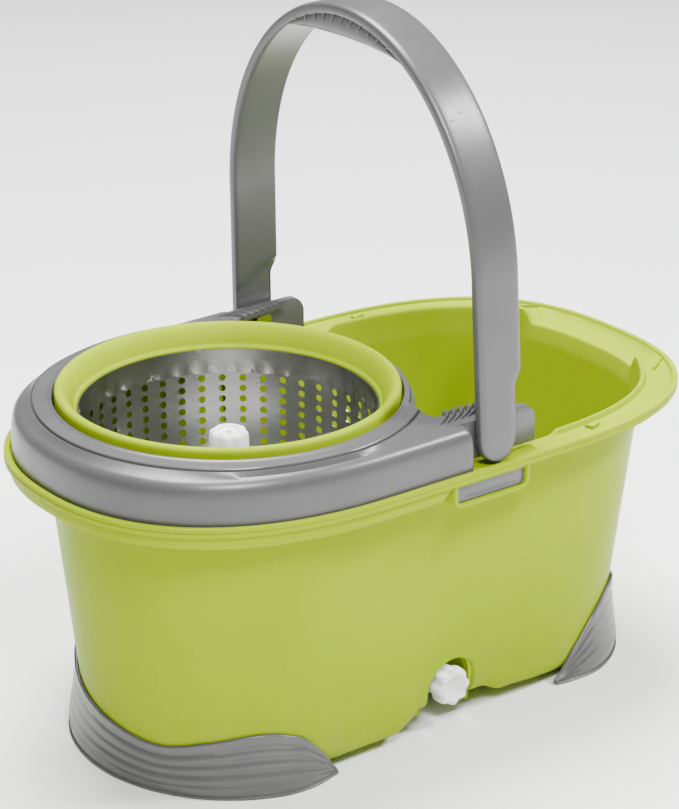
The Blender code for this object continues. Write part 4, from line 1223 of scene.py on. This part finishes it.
def foot_loop(end, degrees, near_end):
    """One cut through the skirt: flat foot, light lip, rippled face and rounded top edge."""
    top = max(crest(degrees), LEAST_CREST)
    spread = FOOT_SPREAD * (0.35 + 0.65 * math.sin(0.5 * math.pi * min(1.0, near_end / END_TAPER)))
    shape = [(0.6, 0.0), (spread - 0.4, 0.0), (spread, 0.3), (spread, 1.5), (spread - 0.4, 1.8),
             (spread - 1.2, 2.0)]
    for step in range(FACE_STEPS + 1):
        share = step / FACE_STEPS
        z = 2.4 + (top - 3.4) * share
        away = (spread - 1.4) * (1 - share) ** 1.35 + 2.6
        ripple = 0.5 + 0.5 * math.cos(2 * math.pi * share * GROOVES)
        fade = smooth(share, 0.0, 0.12) * (1 - smooth(share, 0.9, 1.0)) * min(1.0, top / 24.0)
        shape.append((min(away, spread - 1.2) - GROOVE_DEPTH * ripple ** 3 * fade, z))
    shape += [(2.3, top - 0.5), (1.6, top), (0.6, top)]
    return [wall_point(end, degrees, z, away) for away, z in shape]


for name, end in (("foot_basket_end", -1), ("foot_pour_end", 1)):
    loops = []
    for step in range(161):
        share = step / 160
        degrees = CREST_WAVE[0][0] + (CREST_WAVE[-1][0] - CREST_WAVE[0][0]) * share
        loops.append(foot_loop(end, degrees, min(share, 1 - share)))
    foot_bm = bmesh.new()
    skin(foot_bm, loops)
    stands_for(finished(name + "_skirt", foot_bm, GREY, 40.0), name)
print("feet done")

# %% [markdown]
# ## Studio
# A large pale floor, a faint white surround and three soft lamps, as in a product studio: a key
# high on the front left, a broad panel overhead and a small lamp high on the front right, which
# draws the bright edges along the bail and the cover.

# %% Floor, lights and world
GROUND_HALF = 6000.0
SURROUND = 0.22
ground = bmesh.new()
for x, y in ((-1, -1), (1, -1), (1, 1), (-1, 1)):
    ground.verts.new((x * GROUND_HALF, y * GROUND_HALF, 0.0))
ground.faces.new(ground.verts)
studio, paper, paper_shader, paper_coords = blank("studio_floor")
drift = ramp(paper, noise(paper, paper_coords, 3.0), 0.3, 0.7)
tone = mix(paper, drift, (0.93, 0.93, 0.93), (0.90, 0.90, 0.90))
feed(paper, paper_shader, {"Base Color": tone, "Roughness": 0.6, "Specular IOR Level": 0.2})
floor = finished("studio_floor", ground, studio)

world = bpy.data.worlds.new("studio")
bpy.context.scene.world = world
world.use_nodes = True
sky = world.node_tree.nodes["Background"]
sky.inputs["Color"].default_value = (1.0, 1.0, 1.0, 1.0)
sky.inputs["Strength"].default_value = SURROUND


def lamp(name, place, aim, size, power):
    """A soft square lamp that looks at a point."""
    light = bpy.data.lights.new(name, 'AREA')
    light.size = size
    light.energy = power
    made = bpy.data.objects.new(name, light)
    made.location = place
    made.rotation_euler = (Vector(aim) - Vector(place)).to_track_quat('-Z', 'Y').to_euler()
    bpy.context.scene.collection.objects.link(made)


lamp("key", (-0.7, -1.4, 1.9), (0.0, 0.0, 0.15), 0.6, 66.0)
lamp("sky", (0.1, 0.5, 2.2), (0.0, 0.0, 0.0), 1.2, 170.0)
lamp("edge", (1.4, -1.0, 1.7), (0.0, 0.0, 0.25), 0.3, 62.0)
print("studio ready")

# %% [markdown]
# ## Camera
# A long lens from the front left, a little above the rim, so the tub's front, the basket's mouth
# and the bail all show.

# %% Camera
AZIMUTH = math.radians(-37.33)
ELEVATION = math.radians(22.39)
DISTANCE = 1.998
TARGET = Vector((-0.0067, 0.0, 0.2066))
lens = bpy.data.cameras.new("camera")
lens.lens = 133.5
lens.sensor_width = 36.0
lens.clip_end = 50.0
camera = bpy.data.objects.new("camera", lens)
back = Vector((math.sin(AZIMUTH) * math.cos(ELEVATION), -math.cos(AZIMUTH) * math.cos(ELEVATION),
               math.sin(ELEVATION)))
camera.location = TARGET + back * DISTANCE
camera.rotation_euler = (-back).to_track_quat('-Z', 'Y').to_euler()
bpy.context.scene.collection.objects.link(camera)
bpy.context.scene.camera = camera
